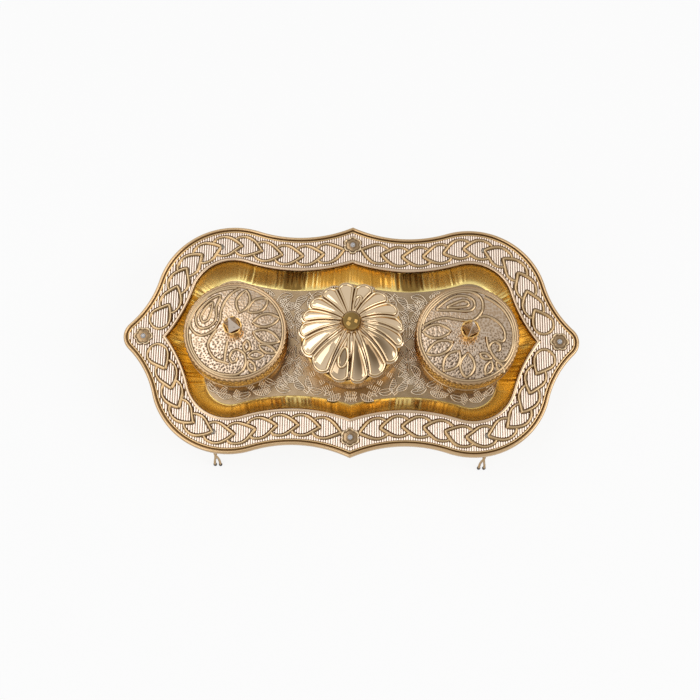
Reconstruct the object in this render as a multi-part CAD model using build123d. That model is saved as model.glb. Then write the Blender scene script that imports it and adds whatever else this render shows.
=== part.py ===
from build123d import *
import math
import os

# Kumkum box: an ornamental tray on four thin legs, with two round paisley-lidded boxes and a
# flower-lidded box between them.
# Sizes are in millimetres and degrees. The origin is on the ground under the middle of the tray.
# X runs along the tray, Y across it and Z up.

# Tray outline: a round lobe in each quarter, hollow arcs beside it and pointed tips between
tray_length = 204.0
tray_width = 107.6
end_tip_radius = 8.0
end_hollow_radius = 45.0
lobe_radius = 35.0
lobe_x = 53.7
lobe_side_distance = 35.95
waist_hollow_radius = 59.3

# Rim and its beads
rim_height = 27.0
rim_width = 16.4
rim_sheet = 1.0
roll_width = 2.4
roll_rise = 0.9
roll_drop = 1.5
roll_round = 0.7
inner_bead_inset = 3.0
inner_bead_width = 1.2
mouth_bead_width = 1.5
bead_rise = 0.5

# Drawn pan and the plate on its bottom
pan_sheet = 0.8
pan_lip_width = 3.0
pan_wall_run = 6.9
pan_wall_steps = 4
well_depth = 6.3
floor_sheet = 0.5
floor_clearance = 0.3

# Rosettes on the rim and their stones
rosette_inset = 8.9
rosette_petals = 6
rosette_radius = 3.9
rosette_notch_depth = 0.8
rosette_thickness = 1.0
stone_radius = 1.5
stone_table_radius = 0.8
stone_height = 1.1
stone_seat_depth = 0.4
stone_sides = 8

# Legs, their rivets and toe caps
leg_from_lobe_x = 6.3
leg_from_lobe_y = 25.35
leg_splay = 9.3
leg_pad_radius = 1.7
leg_pad_thickness = 1.0
leg_wire_offset = 2.4
leg_wire_radius = 0.6
leg_wire_sides = 6
leg_twist_radius = 0.45
leg_twist = 450.0
leg_twist_steps = 8
leg_fork_height = 8.0
toe_spread = 2.4
toe_cap_radius = 0.8
toe_cap_height = 1.6
rivet_radius = 0.7
rivet_head_radius = 1.15
rivet_head_height = 0.5
rivet_tail_radius = 1.0
rivet_tail_height = 0.4
pin_clearance = 0.05
small_rod_sides = 8

# Side boxes, measured up from the floor plate
box_gap = 4.9
side_box_height = 15.6
side_lid_radius = 23.0
side_lid_sheet = 0.8
side_lid_bead = 0.4
side_lid_bead_height = 1.5
side_lid_face_radius = 21.3
side_lid_crown = 0.9
side_cup_wall = 1.0
side_cup_floor = 1.0
side_cup_foot_radius = 21.2
side_cup_shoulder_height = 5.0
lid_clearance = 0.3

# Knob of a side box
calyx_height = 5.4
calyx_base_radius = 2.7
calyx_waist_radius = 2.2
calyx_waist_height = 1.6
calyx_shoulder_radius = 3.6
calyx_mouth_radius = 4.4
calyx_cup_depth = 1.2
calyx_flutes = 8
calyx_flute_share = 0.84
bud_width = 6.0
bud_height = 7.2
bud_tip_width = 0.7
bud_root_width = 3.2
bud_turn = 28.0
knob_pin_radius = 0.8
knob_pin_head_radius = 1.8
knob_pin_head_height = 0.6
bud_pin_depth = 3.0

# Middle box, measured up from the floor plate
flower_rim_height = 16.3
flower_radius = 23.3
flower_notch_depth = 1.1
flower_petal_angles = (98, 74, 50, 30, 6, -11, -31, -58, -82, -104, -131, -158, -181, -198, -218, -240)
flower_steps = 4
flower_slope = 0.42
flower_neck_power = 4
flower_sheet = 1.0
flower_neck_radius = 2.1
flower_neck_height = 28.3
centre_cup_foot_radius = 21.5
centre_cup_belly_radius = 22.7
centre_cup_brim_radius = 22.3
centre_cup_wall = 1.0
centre_cup_floor = 1.0
register_depth = 3.0
register_wall = 0.9
ball_radius = 4.5
ball_pin_depth = 3.0

# Places and levels that follow from the sizes above
lobe_y = tray_width / 2 - lobe_side_distance
leg_x = lobe_x + leg_from_lobe_x
leg_rivet_y = lobe_y + leg_from_lobe_y
leg_foot_y = leg_rivet_y + leg_splay
side_box_x = flower_radius + box_gap + side_lid_radius
rim_underside = rim_height - rim_sheet
floor_top = rim_height - well_depth
pan_bottom = floor_top - floor_sheet
side_brim_height = side_box_height - side_lid_bead - side_lid_sheet
side_lid_bore_radius = side_lid_radius - side_lid_bead - side_lid_sheet
side_cup_neck_radius = side_lid_bore_radius - lid_clearance
side_cup_bore_radius = side_cup_neck_radius - side_cup_wall
side_lid_crown_height = side_box_height - side_lid_bead + side_lid_crown
centre_brim_height = flower_rim_height - flower_sheet
centre_cup_bore_radius = centre_cup_brim_radius - centre_cup_wall
register_radius = centre_cup_bore_radius - lid_clearance
bud_root_height = side_lid_crown_height + calyx_height - calyx_cup_depth


def circle_crossing(centre_a, radius_a, centre_b, radius_b, side):
    """Return where two circles cross, on the left (1) or right (-1) of the way from a to b."""
    gap = centre_b - centre_a
    along = (radius_a**2 - radius_b**2 + gap.length**2) / (2 * gap.length)
    across = math.sqrt(radius_a**2 - along**2)
    way = gap.normalized()
    return centre_a + way * along + Vector(-way.Y, way.X) * across * side


lobe_centre = Vector(lobe_x, lobe_y)
end_tip_centre = Vector(tray_length / 2 - end_tip_radius, 0)
end_hollow_centre = circle_crossing(
    lobe_centre, lobe_radius + end_hollow_radius, end_tip_centre, end_hollow_radius + end_tip_radius, 1
)
waist_hollow_centre = circle_crossing(
    lobe_centre, lobe_radius + waist_hollow_radius, Vector(0, tray_width / 2), waist_hollow_radius, -1
)


def arc_about(centre, start, end):
    """Return the shorter arc about a centre from one point to another."""
    radius = (start - centre).length
    middle = centre + ((start + end) * 0.5 - centre).normalized() * radius
    return ThreePointArc(start, middle, end)


def quarter_outline(inset):
    """Return the arcs of the tray's first quarter, moved inwards by the inset."""
    end_reach = end_hollow_radius + inset
    waist_reach = waist_hollow_radius + inset
    lobe_reach = lobe_radius - inset
    end_way = (end_hollow_centre - lobe_centre).normalized()
    waist_way = (waist_hollow_centre - lobe_centre).normalized()
    lobe_start = lobe_centre + end_way * lobe_reach
    lobe_end = lobe_centre + waist_way * lobe_reach
    mid_tip = Vector(0, waist_hollow_centre.Y - math.sqrt(waist_reach**2 - waist_hollow_centre.X**2))
    arcs = []
    if inset < end_tip_radius:
        tip_way = (end_hollow_centre - end_tip_centre).normalized()
        end_start = end_tip_centre + tip_way * (end_tip_radius - inset)
        end_tip = end_tip_centre + Vector(end_tip_radius - inset, 0)
        arcs.append(arc_about(end_tip_centre, end_tip, end_start))
    else:
        end_start = Vector(end_hollow_centre.X - math.sqrt(end_reach**2 - end_hollow_centre.Y**2), 0)
    arcs.append(arc_about(end_hollow_centre, end_start, lobe_start))
    arcs.append(arc_about(lobe_centre, lobe_start, lobe_end))
    arcs.append(arc_about(waist_hollow_centre, lobe_end, mid_tip))
    return arcs


def tray_face(inset, height):
    """Return the face inside the tray's outline, moved inwards by the inset, at a height."""
    right_back = quarter_outline(inset)
    left_back = [arc.mirror(Plane.YZ) for arc in right_back]
    back = right_back + left_back
    front = [arc.mirror(Plane.XZ) for arc in back]
    return Pos(0, 0, height) * make_face(back + front)


def tray_form(stations):
    """Return the solid whose sides pass through the outline at each (inset, height)."""
    return loft([tray_face(inset, height) for inset, height in stations], ruled=True)


def scalloped_face(tip_radius, notch_radius, tip_angles):
    """Return a face edged by one arc for each petal, whose tips stand at the given falling angles."""
    following = [*tip_angles[1:], tip_angles[0] - 360]
    notches = [(tip + after) / 2 for tip, after in zip(tip_angles, following)]
    arcs = []
    for index, tip in enumerate(tip_angles):
        start = Vector(notch_radius, 0).rotate(Axis.Z, notches[index - 1])
        middle = Vector(tip_radius, 0).rotate(Axis.Z, tip)
        end = Vector(notch_radius, 0).rotate(Axis.Z, notches[index])
        arcs.append(ThreePointArc(start, middle, end))
    return make_face(arcs)


def star_face(tip_radius, notch_radius, count):
    """Return a face with evenly spaced points and straight edges between them and the notches."""
    corners = []
    for index in range(count):
        corners.append(Vector(tip_radius, 0).rotate(Axis.Z, 360 * index / count))
        corners.append(Vector(notch_radius, 0).rotate(Axis.Z, 360 * (index + 0.5) / count))
    return make_face(Polyline(*corners, close=True))


def small_rod(radius, bottom, top):
    """Return a thin upright rod about the Z axis, drawn with flats instead of a round wall."""
    return extrude(Pos(0, 0, bottom) * RegularPolygon(radius, small_rod_sides), top - bottom)


def leg_places():
    """Return each leg's name with its signs along X and Y."""
    return [
        ("front_left_leg", -1, -1),
        ("front_right_leg", 1, -1),
        ("rear_left_leg", -1, 1),
        ("rear_right_leg", 1, 1),
    ]


def make_tray_rim():
    """Flat rim with a rolled outer edge, an inner bead and a raised edge round the mouth."""
    roll_top = rim_height + roll_rise
    roll_bottom = rim_underside - roll_drop
    bead_top = rim_height + bead_rise
    rim = tray_form(
        [
            (roll_width, rim_underside),
            (roll_width, roll_bottom),
            (0, roll_bottom),
            (0, roll_top - roll_round),
            (roll_round, roll_top),
            (roll_width - roll_round, roll_top),
            (roll_width, rim_height),
            (inner_bead_inset, rim_height),
            (inner_bead_inset + inner_bead_width / 2, bead_top),
            (inner_bead_inset + inner_bead_width, rim_height),
        ]
    )
    rim += tray_form(
        [
            (rim_width - mouth_bead_width, rim_height),
            (rim_width - mouth_bead_width / 2, bead_top),
            (rim_width, bead_top),
        ]
    )
    rim -= extrude(tray_face(rim_width, rim_underside), rim_sheet + bead_rise)
    hole = small_rod(rivet_radius + pin_clearance, 0, bead_top)
    for _, sign_x, sign_y in leg_places():
        rim -= Pos(sign_x * leg_x, sign_y * leg_rivet_y, 0) * hole
    return rim


def pan_form(grow):
    """Return the filled form of the pan, grown outwards by the given thickness."""
    drop = rim_underside - pan_bottom
    stations = []
    for step in range(pan_wall_steps):
        turn = math.radians(90 * step / (pan_wall_steps - 1))
        inset = rim_width + pan_wall_run * (1 - math.cos(turn)) - grow * math.cos(turn)
        stations.append((inset, rim_underside - (drop + grow) * math.sin(turn)))
    return tray_form(stations)


def make_well_pan():
    """Drawn pan with a lip under the rim and a wall that curves into its flat bottom."""
    lip = extrude(tray_face(rim_width - pan_lip_width, rim_underside - pan_sheet), pan_sheet)
    return lip + pan_form(pan_sheet) - pan_form(0)


def make_floor_plate():
    """Embossed plate that lies on the bottom of the pan."""
    edge_inset = rim_width + pan_wall_run + floor_clearance
    return extrude(tray_face(edge_inset, pan_bottom), floor_sheet)


def rosette_places():
    """Return where the four rosettes sit on the rim, each with its turn."""
    reach_x = tray_length / 2 - rosette_inset
    reach_y = tray_width / 2 - rosette_inset
    return [(reach_x, 0, 0), (0, reach_y, 90), (-reach_x, 0, 180), (0, -reach_y, 270)]


def make_rosette():
    """Flower of round petals about a seat for the stone."""
    tips = [-360 * index / rosette_petals for index in range(rosette_petals)]
    outline = scalloped_face(rosette_radius, rosette_radius - rosette_notch_depth, tips)
    seat = Pos(0, 0, rosette_thickness - stone_seat_depth) * RegularPolygon(stone_radius, stone_sides)
    return extrude(outline, rosette_thickness) - extrude(seat, stone_seat_depth)


def make_rim_rosettes():
    """Four rosettes, at both ends and both long sides of the rim."""
    return [Pos(x, y, rim_height) * Rot(0, 0, turn) * make_rosette() for x, y, turn in rosette_places()]


def make_rosette_stones():
    """Four cut stones that taper to a flat table."""
    seat_height = rim_height + rosette_thickness - stone_seat_depth
    girdle = RegularPolygon(stone_radius, stone_sides)
    table = Pos(0, 0, stone_height) * RegularPolygon(stone_table_radius, stone_sides)
    stone = loft([girdle, table], ruled=True)
    return [Pos(x, y, seat_height) * Rot(0, 0, turn) * stone for x, y, turn in rosette_places()]


def leg_wire(side):
    """Return one wire of a leg, which twists about the leaning axis and ends in a toe."""
    top = rim_underside - leg_pad_thickness
    top_y = leg_rivet_y + leg_wire_offset
    lean = (leg_foot_y - top_y) / (top - toe_cap_height)
    section = RegularPolygon(leg_wire_radius, leg_wire_sides)
    sections = []
    for step in range(leg_twist_steps + 1):
        share = step / leg_twist_steps
        height = top + (leg_fork_height - top) * share
        turn = math.radians((share - 1) * leg_twist)
        x = leg_x + side * leg_twist_radius * math.cos(turn)
        y = top_y + (top - height) * lean + side * leg_twist_radius * math.sin(turn)
        sections.append(Pos(x, y, height) * section)
    sections.append(Pos(leg_x + side * toe_spread / 2, leg_foot_y, toe_cap_height) * section)
    return loft(sections, ruled=True)


def make_leg(sign_x, sign_y):
    """Leg of two twisted wires under a pad, which part into two toes."""
    pad_bottom = rim_underside - leg_pad_thickness
    pad_outline = Rot(0, 0, 90) * SlotCenterToCenter(leg_wire_offset, 2 * leg_pad_radius)
    pad_y = leg_rivet_y + leg_wire_offset / 2
    pad = extrude(Pos(leg_x, pad_y, pad_bottom) * pad_outline, leg_pad_thickness)
    pad -= Pos(leg_x, leg_rivet_y, 0) * small_rod(rivet_radius + pin_clearance, 0, rim_height)
    leg = pad + leg_wire(-1) + leg_wire(1)
    return place_quarter(leg, sign_x, sign_y)


def place_quarter(shape, sign_x, sign_y):
    """Return a shape of the rear right quarter, mirrored to the quarter with these signs."""
    if sign_x < 0:
        shape = shape.mirror(Plane.YZ)
    if sign_y < 0:
        shape = shape.mirror(Plane.XZ)
    return shape


def make_leg_rivets():
    """Four rivets through rim and leg pad, with a domed head on the rim."""
    pad_bottom = rim_underside - leg_pad_thickness
    rivet = small_rod(rivet_radius, pad_bottom, rim_height)
    rivet += small_rod(rivet_tail_radius, pad_bottom - rivet_tail_height, pad_bottom)
    head_edge = RegularPolygon(rivet_head_radius, small_rod_sides)
    head_top = Pos(0, 0, rivet_head_height) * RegularPolygon(rivet_head_radius / 2, small_rod_sides)
    rivet += Pos(0, 0, rim_height) * loft([head_edge, head_top], ruled=True)
    return [Pos(sign_x * leg_x, sign_y * leg_rivet_y, 0) * rivet for _, sign_x, sign_y in leg_places()]


def make_leg_toe_caps():
    """Eight dark caps on which the toes stand."""
    cap = small_rod(toe_cap_radius, 0, toe_cap_height)
    caps = []
    for _, sign_x, sign_y in leg_places():
        for side in (-1, 1):
            caps.append(Pos(sign_x * leg_x + side * toe_spread / 2, sign_y * leg_foot_y, 0) * cap)
    return caps


def turned(points):
    """Return the solid of revolution about Z of a closed profile of (radius, height) points."""
    return revolve(Plane.XZ * make_face(Polyline(*points, close=True)), Axis.Z)


def make_side_cup():
    """Round cup with a bellied foot, a shoulder under the lid's skirt and a neck inside it."""
    shoulder_radius = side_lid_bore_radius + side_lid_sheet / 2
    return turned(
        [
            (0, 0),
            (side_cup_foot_radius, 0),
            (shoulder_radius, 0.5 * side_cup_shoulder_height),
            (shoulder_radius, side_cup_shoulder_height),
            (side_cup_neck_radius, side_cup_shoulder_height),
            (side_cup_neck_radius, side_brim_height),
            (side_cup_bore_radius, side_brim_height),
            (side_cup_bore_radius, 2 * side_cup_floor),
            (side_cup_bore_radius - side_cup_floor, side_cup_floor),
            (0, side_cup_floor),
        ]
    )


def make_side_lid():
    """Slip-on lid with a waisted skirt, a raised edge and a crowned face, bored for the knob's pin."""
    skirt_bottom = side_cup_shoulder_height + lid_clearance
    skirt_radius = side_lid_radius - side_lid_bead
    face_edge = side_box_height - side_lid_bead
    lid = turned(
        [
            (0, side_brim_height),
            (side_lid_bore_radius, side_brim_height),
            (side_lid_bore_radius, skirt_bottom),
            (side_lid_radius, skirt_bottom),
            (skirt_radius, skirt_bottom + side_lid_bead_height),
            (skirt_radius, face_edge - side_lid_bead_height),
            (side_lid_radius, face_edge),
            (skirt_radius, side_box_height),
            (side_lid_face_radius, side_box_height),
            (side_lid_face_radius - side_lid_bead, face_edge),
            (calyx_base_radius, side_lid_crown_height),
            (0, side_lid_crown_height),
        ]
    )
    return lid - small_rod(knob_pin_radius + pin_clearance, 0, side_lid_crown_height)


def make_calyx():
    """Small fluted cup on the crown of the lid, which holds the bud."""
    base = side_lid_crown_height
    mouth = base + calyx_height
    sections = []
    for radius, height in (
        (calyx_base_radius, base),
        (calyx_waist_radius, base + calyx_waist_height),
        (calyx_shoulder_radius, mouth - calyx_cup_depth),
        (calyx_mouth_radius, mouth),
    ):
        sections.append(Pos(0, 0, height) * star_face(radius, radius * calyx_flute_share, calyx_flutes))
    calyx = loft(sections, ruled=True) - bud_root()
    return calyx - small_rod(knob_pin_radius + pin_clearance, base, mouth)


def bud_root():
    """Return the tapered root of the bud, which fills the calyx."""
    root = Pos(0, 0, bud_root_height) * Rectangle(bud_root_width, bud_root_width)
    girdle = Pos(0, 0, bud_root_height + calyx_cup_depth) * Rectangle(bud_width, bud_width)
    return Rot(0, 0, bud_turn) * loft([root, girdle], ruled=True)


def make_bud():
    """Four-sided bud that stands in the calyx and tapers to a blunt point."""
    girdle = Pos(0, 0, bud_root_height + calyx_cup_depth) * Rectangle(bud_width, bud_width)
    tip = Pos(0, 0, bud_root_height + bud_height) * Rectangle(bud_tip_width, bud_tip_width)
    bud = bud_root() + Rot(0, 0, bud_turn) * loft([girdle, tip], ruled=True)
    return bud - small_rod(knob_pin_radius + pin_clearance, 0, bud_root_height + bud_pin_depth)


def make_knob_pin(seat, top):
    """Pin with a flat head below its seat, which runs up into the knob."""
    head = small_rod(knob_pin_head_radius, seat - knob_pin_head_height, seat)
    return head + small_rod(knob_pin_radius, seat, top)


def make_side_knob_rivet():
    """Pin that holds calyx and bud on a side lid."""
    return make_knob_pin(side_brim_height, bud_root_height + bud_pin_depth)


def make_centre_cup():
    """Round bellied cup whose brim shows below the petals."""
    belly_height = centre_brim_height / 2
    return turned(
        [
            (0, 0),
            (centre_cup_foot_radius, 0),
            (centre_cup_belly_radius, belly_height),
            (centre_cup_brim_radius, centre_brim_height),
            (centre_cup_bore_radius, centre_brim_height),
            (centre_cup_bore_radius, 2 * centre_cup_floor),
            (centre_cup_bore_radius - centre_cup_floor, centre_cup_floor),
            (0, centre_cup_floor),
        ]
    )


def dome_stations():
    """Return the flower lid's hollow slope from its rim up to the neck, as (radius, height)."""
    stations = []
    for step in range(flower_steps + 1):
        share = step / flower_steps
        radius = flower_radius + (flower_neck_radius - flower_radius) * share
        rise = flower_slope * share + (1 - flower_slope) * share**flower_neck_power
        stations.append((radius, flower_rim_height + (flower_neck_height - flower_rim_height) * rise))
    return stations


def make_centre_lid():
    """Flower lid whose petals rise to a neck, hollow below, with a ring that drops into the cup."""
    upper = dome_stations()
    sections = []
    for radius, height in [(flower_radius, centre_brim_height)] + upper:
        notch_radius = radius * (1 - flower_notch_depth / flower_radius)
        sections.append(Pos(0, 0, height) * scalloped_face(radius, notch_radius, flower_petal_angles))
    petals = loft(sections, ruled=True)
    hollow_radius = register_radius - register_wall
    under = [(radius - flower_sheet, height - flower_sheet / 2) for radius, height in upper[1:-1]]
    hollow = turned(
        [(0, centre_brim_height), (hollow_radius, centre_brim_height), (hollow_radius, flower_rim_height)]
        + [point for point in under if point[0] < hollow_radius]
        + [(0, under[-1][1])]
    )
    ring = turned(
        [
            (hollow_radius, centre_brim_height - register_depth),
            (register_radius, centre_brim_height - register_depth),
            (register_radius, centre_brim_height),
            (hollow_radius, centre_brim_height),
        ]
    )
    return petals - hollow + ring - small_rod(knob_pin_radius + pin_clearance, 0, flower_neck_height)


def make_centre_knob():
    """Polished ball on the neck, bored from below for its pin."""
    centre = flower_neck_height + math.sqrt(ball_radius**2 - flower_neck_radius**2)
    ball = Pos(0, 0, centre) * Sphere(ball_radius)
    ball -= small_rod(ball_radius, 0, flower_neck_height)
    return ball - small_rod(knob_pin_radius + pin_clearance, 0, flower_neck_height + ball_pin_depth)


def make_centre_knob_rivet():
    """Pin that holds the ball on the neck."""
    return make_knob_pin(dome_stations()[-2][1] - flower_sheet / 2, flower_neck_height + ball_pin_depth)


def write_node(name, shapes, x=0.0, height=0.0):
    """Write one node's solids, moved along X and up, to its own file."""
    group = shapes if isinstance(shapes, list) else [shapes]
    solids = [Pos(x, 0, height) * solid for shape in group for solid in shape.solids()]
    node = solids[0] if len(solids) == 1 else Compound(children=solids)
    export_step(node, f"parts/{name}.step")


def main():
    """Build every node of the kumkum box."""
    os.makedirs("parts", exist_ok=True)
    write_node("tray_rim", make_tray_rim())
    write_node("well_pan", make_well_pan())
    write_node("floor_plate", make_floor_plate())
    write_node("rim_rosettes", make_rim_rosettes())
    write_node("rosette_stones", make_rosette_stones())
    for name, sign_x, sign_y in leg_places():
        write_node(name, make_leg(sign_x, sign_y))
    write_node("leg_rivets", make_leg_rivets())
    write_node("leg_toe_caps", make_leg_toe_caps())
    for side, x in (("left", -side_box_x), ("right", side_box_x)):
        write_node(f"{side}_cup", make_side_cup(), x, floor_top)
        write_node(f"{side}_lid", make_side_lid(), x, floor_top)
        write_node(f"{side}_knob_calyx", make_calyx(), x, floor_top)
        write_node(f"{side}_knob_bud", make_bud(), x, floor_top)
        write_node(f"{side}_knob_rivet", make_side_knob_rivet(), x, floor_top)
    write_node("centre_cup", make_centre_cup(), 0, floor_top)
    write_node("centre_lid", make_centre_lid(), 0, floor_top)
    write_node("centre_knob", make_centre_knob(), 0, floor_top)
    write_node("centre_knob_rivet", make_centre_knob_rivet(), 0, floor_top)


main()
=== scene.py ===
"""Dresses the kumkum box: a footed tray with two paisley-lidded boxes and a flower-lidded box.

Sizes in the classes are millimetres in the object's own frame, with X along the tray, Y to the back
and Z up from the ground. Meshes are written in metres. Two values lie on the points of most pieces:
relief holds painted shade and painted highlights, from 0 where a recess is painted dark to 1 where a
crest is painted light, with some painted reflections as well, and gilt is 1 where a second plating shows.
"""

import logging
import math
from collections.abc import Sequence
from dataclasses import dataclass, field, replace
from enum import Enum

import bpy
import numpy as np
from mathutils import Matrix, Vector


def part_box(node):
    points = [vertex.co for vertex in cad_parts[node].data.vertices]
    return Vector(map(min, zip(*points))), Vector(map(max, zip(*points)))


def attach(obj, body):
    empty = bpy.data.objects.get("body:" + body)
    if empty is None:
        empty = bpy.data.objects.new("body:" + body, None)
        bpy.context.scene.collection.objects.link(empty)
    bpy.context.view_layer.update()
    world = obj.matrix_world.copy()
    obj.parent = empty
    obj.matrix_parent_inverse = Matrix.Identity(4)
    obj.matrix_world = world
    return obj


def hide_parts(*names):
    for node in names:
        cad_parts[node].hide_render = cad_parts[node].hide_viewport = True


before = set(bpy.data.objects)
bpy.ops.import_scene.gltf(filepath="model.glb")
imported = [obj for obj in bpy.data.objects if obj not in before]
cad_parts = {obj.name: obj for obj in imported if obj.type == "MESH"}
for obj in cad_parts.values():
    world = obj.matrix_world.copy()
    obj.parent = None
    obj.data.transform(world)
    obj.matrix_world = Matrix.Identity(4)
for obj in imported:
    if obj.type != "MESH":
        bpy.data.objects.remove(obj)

MM = 0.001
TAU = 2 * math.pi
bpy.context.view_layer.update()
# Sizes that more than one class uses.
RIM_SHEET = 1.0
MOUTH_INSET = 16.4
LEG_X = 60.0
RIVET_Y = 43.2
BOX_X = 51.2
QUARTERS = ((1, 1), (-1, 1), (-1, -1), (1, -1))
log = logging.getLogger("kumkum_box")

Colour = tuple[float, float, float]
Point = tuple[float, float]
Inputs = dict[str | int, object]
Socket = bpy.types.NodeSocket


class Slot(Enum):
    """Material slots of the record."""

    SILVER = "silver_plate"
    GOLD = "gold_plate"
    CHAMPAGNE = "champagne_plate"
    RIVET = "grey_rivet"
    STONE = "clear_stone"
    CAP = "dark_cap"


class Body(Enum):
    """Bodies that move as one."""

    TRAY = "tray"
    LEFT_CUP = "left_box"
    LEFT_LID = "left_box_lid"
    CENTRE_CUP = "centre_box"
    CENTRE_LID = "centre_box_lid"
    RIGHT_CUP = "right_box"
    RIGHT_LID = "right_box_lid"


@dataclass(frozen=True)
class Level:
    """Heights of the tray."""

    rim_top: float
    floor_top: float

    @classmethod
    def read(cls) -> "Level":
        """Read the levels from the frame's pan and floor plate."""
        pan_top, floor_top = (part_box(node)[1].z / MM for node in ("well_pan", "floor_plate"))
        return cls(pan_top + RIM_SHEET, floor_top)


class Bench:
    """A node tree under construction, with short calls to add and join nodes."""

    def __init__(self, tree: bpy.types.NodeTree) -> None:
        """Keep the tree that the calls add to."""
        self.tree = tree

    def add(self, kind: str, inputs: Inputs | None = None, **settings: object) -> bpy.types.Node:
        """Add one node.

        Args:
            kind: Blender's name of the node type.
            inputs: A socket to link from or a plain value, for each input's name or number.
            settings: Properties of the node, set by name.

        Returns:
            The new node.
        """
        node = self.tree.nodes.new(kind)
        for name, value in settings.items():
            setattr(node, name, value)
        for name, value in (inputs or {}).items():
            if isinstance(value, Socket):
                self.tree.links.new(value, node.inputs[name])
            else:
                node.inputs[name].default_value = value
        return node

    def math(self, operation: str, first: object, second: object = 0.0) -> Socket:
        """Return the result of a Math node on two sockets or numbers."""
        return self.add("ShaderNodeMath", {0: first, 1: second}, operation=operation).outputs[0]

    def mix(self, share: object, first: object, second: object) -> Socket:
        """Return the first colour with a share of the second mixed in."""
        return self.add("ShaderNodeMix", {0: share, 6: first, 7: second}, data_type="RGBA").outputs[2]

    def remap(self, value: Socket, low: float, high: float, out_low: float, out_high: float) -> Socket:
        """Return a value that runs from out_low to out_high while the given one runs from low to high."""
        limits = dict(enumerate((value, low, high, out_low, out_high)))
        return self.add("ShaderNodeMapRange", limits).outputs[0]

    def noise(self, scale: object, detail: float = 2.0) -> Socket:
        """Return noise on Object coordinates.

        Args:
            scale: Cells of the noise in a metre, a number or a socket.
            detail: How many finer layers it has.

        Returns:
            The socket with the noise, from 0 to 1.
        """
        place = self.add("ShaderNodeTexCoord").outputs["Object"]
        inputs = {"Vector": place, "Scale": scale, "Detail": detail}
        return self.add("ShaderNodeTexNoise", inputs).outputs["Fac"]

    def attribute(self, name: str) -> Socket:
        """Return a value that lies on the mesh's points."""
        return self.add("ShaderNodeAttribute", attribute_name=name).outputs["Fac"]

    def bump(self, strength: float, distance: float, height: Socket) -> Socket:
        """Return the normal of a bumped surface."""
        inputs = {"Strength": strength, "Distance": distance, "Height": height}
        return self.add("ShaderNodeBump", inputs).outputs["Normal"]

    def principled(self, inputs: Inputs) -> Socket:
        """Return the Principled shader with the given inputs."""
        return self.add("ShaderNodeBsdfPrincipled", inputs).outputs["BSDF"]

    def seen(self) -> Socket:
        """Return 1 for what the camera sees, also in a reflection or through glass, and 0 for light."""
        path = self.add("ShaderNodeLightPath").outputs
        mirrored = self.math("MAXIMUM", path["Is Glossy Ray"], path["Is Transmission Ray"])
        return self.math("MAXIMUM", path["Is Camera Ray"], mirrored)


class NodeGroup:
    """A group with named inputs and outputs."""

    name: str
    kind = "ShaderNodeTree"
    inputs: dict[str, str]
    outputs: dict[str, str]

    def tree(self) -> bpy.types.NodeTree:
        """Return the group, built on its first use."""
        found = bpy.data.node_groups.get(self.name)
        if found:
            return found
        tree = bpy.data.node_groups.new(self.name, self.kind)
        for way, sockets in (("OUTPUT", self.outputs), ("INPUT", self.inputs)):
            for name, kind in sockets.items():
                tree.interface.new_socket(name, in_out=way, socket_type=f"NodeSocket{kind}")
        bench = Bench(tree)
        bench.add("NodeGroupOutput", self.build(bench, bench.add("NodeGroupInput").outputs))
        return tree

    def build(self, bench: Bench, given: bpy.types.NodeOutputs) -> Inputs:
        """Add the group's nodes.

        Args:
            bench: The group's tree under construction.
            given: The sockets of the group's inputs.

        Returns:
            The socket for each of the group's outputs.
        """
        raise NotImplementedError


class PlatingGroup(NodeGroup):
    """Plated sheet metal, with a cloudy tone, a fine grain and soft dents."""

    name = "plating tone and grain"
    inputs = {
        "Tone": "Color", "Deep Tone": "Color", "Cloud Scale": "Float", "Cloud Share": "Float",
        "Grain Scale": "Float", "Roughness Low": "Float", "Roughness High": "Float",
    }
    outputs = {"Color": "Color", "Roughness": "Float", "Height": "Float"}

    def build(self, bench: Bench, given: bpy.types.NodeOutputs) -> Inputs:
        """Mix the two tones by soft clouds and spread the roughness by the grain.

        Args:
            bench: The group's tree under construction.
            given: The sockets of the group's inputs.

        Returns:
            The socket for each of the group's outputs.
        """
        cloud = bench.noise(given["Cloud Scale"], 4.0)
        grain = bench.noise(given["Grain Scale"])
        share = bench.math("MULTIPLY", bench.remap(cloud, 0.38, 0.68, 0.0, 1.0), given["Cloud Share"])
        span = bench.math("SUBTRACT", given["Roughness High"], given["Roughness Low"])
        return {
            "Color": bench.mix(share, given["Tone"], given["Deep Tone"]),
            "Roughness": bench.math("ADD", given["Roughness Low"], bench.math("MULTIPLY", span, grain)),
            "Height": bench.math("ADD", grain, bench.math("MULTIPLY", cloud, 3.0)),
        }


class PaintedShadeGroup(NodeGroup):
    """Painted shade in the recesses and painted highlights on the crests of a relief."""

    name = "painted recess shade and crest highlight"
    inputs = {
        "Color": "Color", "Recess Shade Color": "Color", "Crest Highlight Color": "Color",
        "Relief": "Float", "Recess Shade Share": "Float", "Crest Highlight Share": "Float",
    }
    outputs = {"Color": "Color"}

    def build(self, bench: Bench, given: bpy.types.NodeOutputs) -> Inputs:
        """Mix in the painted shade colour where the relief is low and the painted highlight colour where it
        is high.

        Args:
            bench: The group's tree under construction.
            given: The sockets of the group's inputs.

        Returns:
            The socket for each of the group's outputs.
        """
        low = bench.math("MULTIPLY", bench.remap(given["Relief"], 0.0, 0.45, 1.0, 0.0), given["Recess Shade Share"])
        high = bench.math("MULTIPLY", bench.remap(given["Relief"], 0.6, 1.0, 0.0, 1.0), given["Crest Highlight Share"])
        dark = bench.mix(low, given["Color"], given["Recess Shade Color"])
        return {"Color": bench.mix(high, dark, given["Crest Highlight Color"])}


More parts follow.
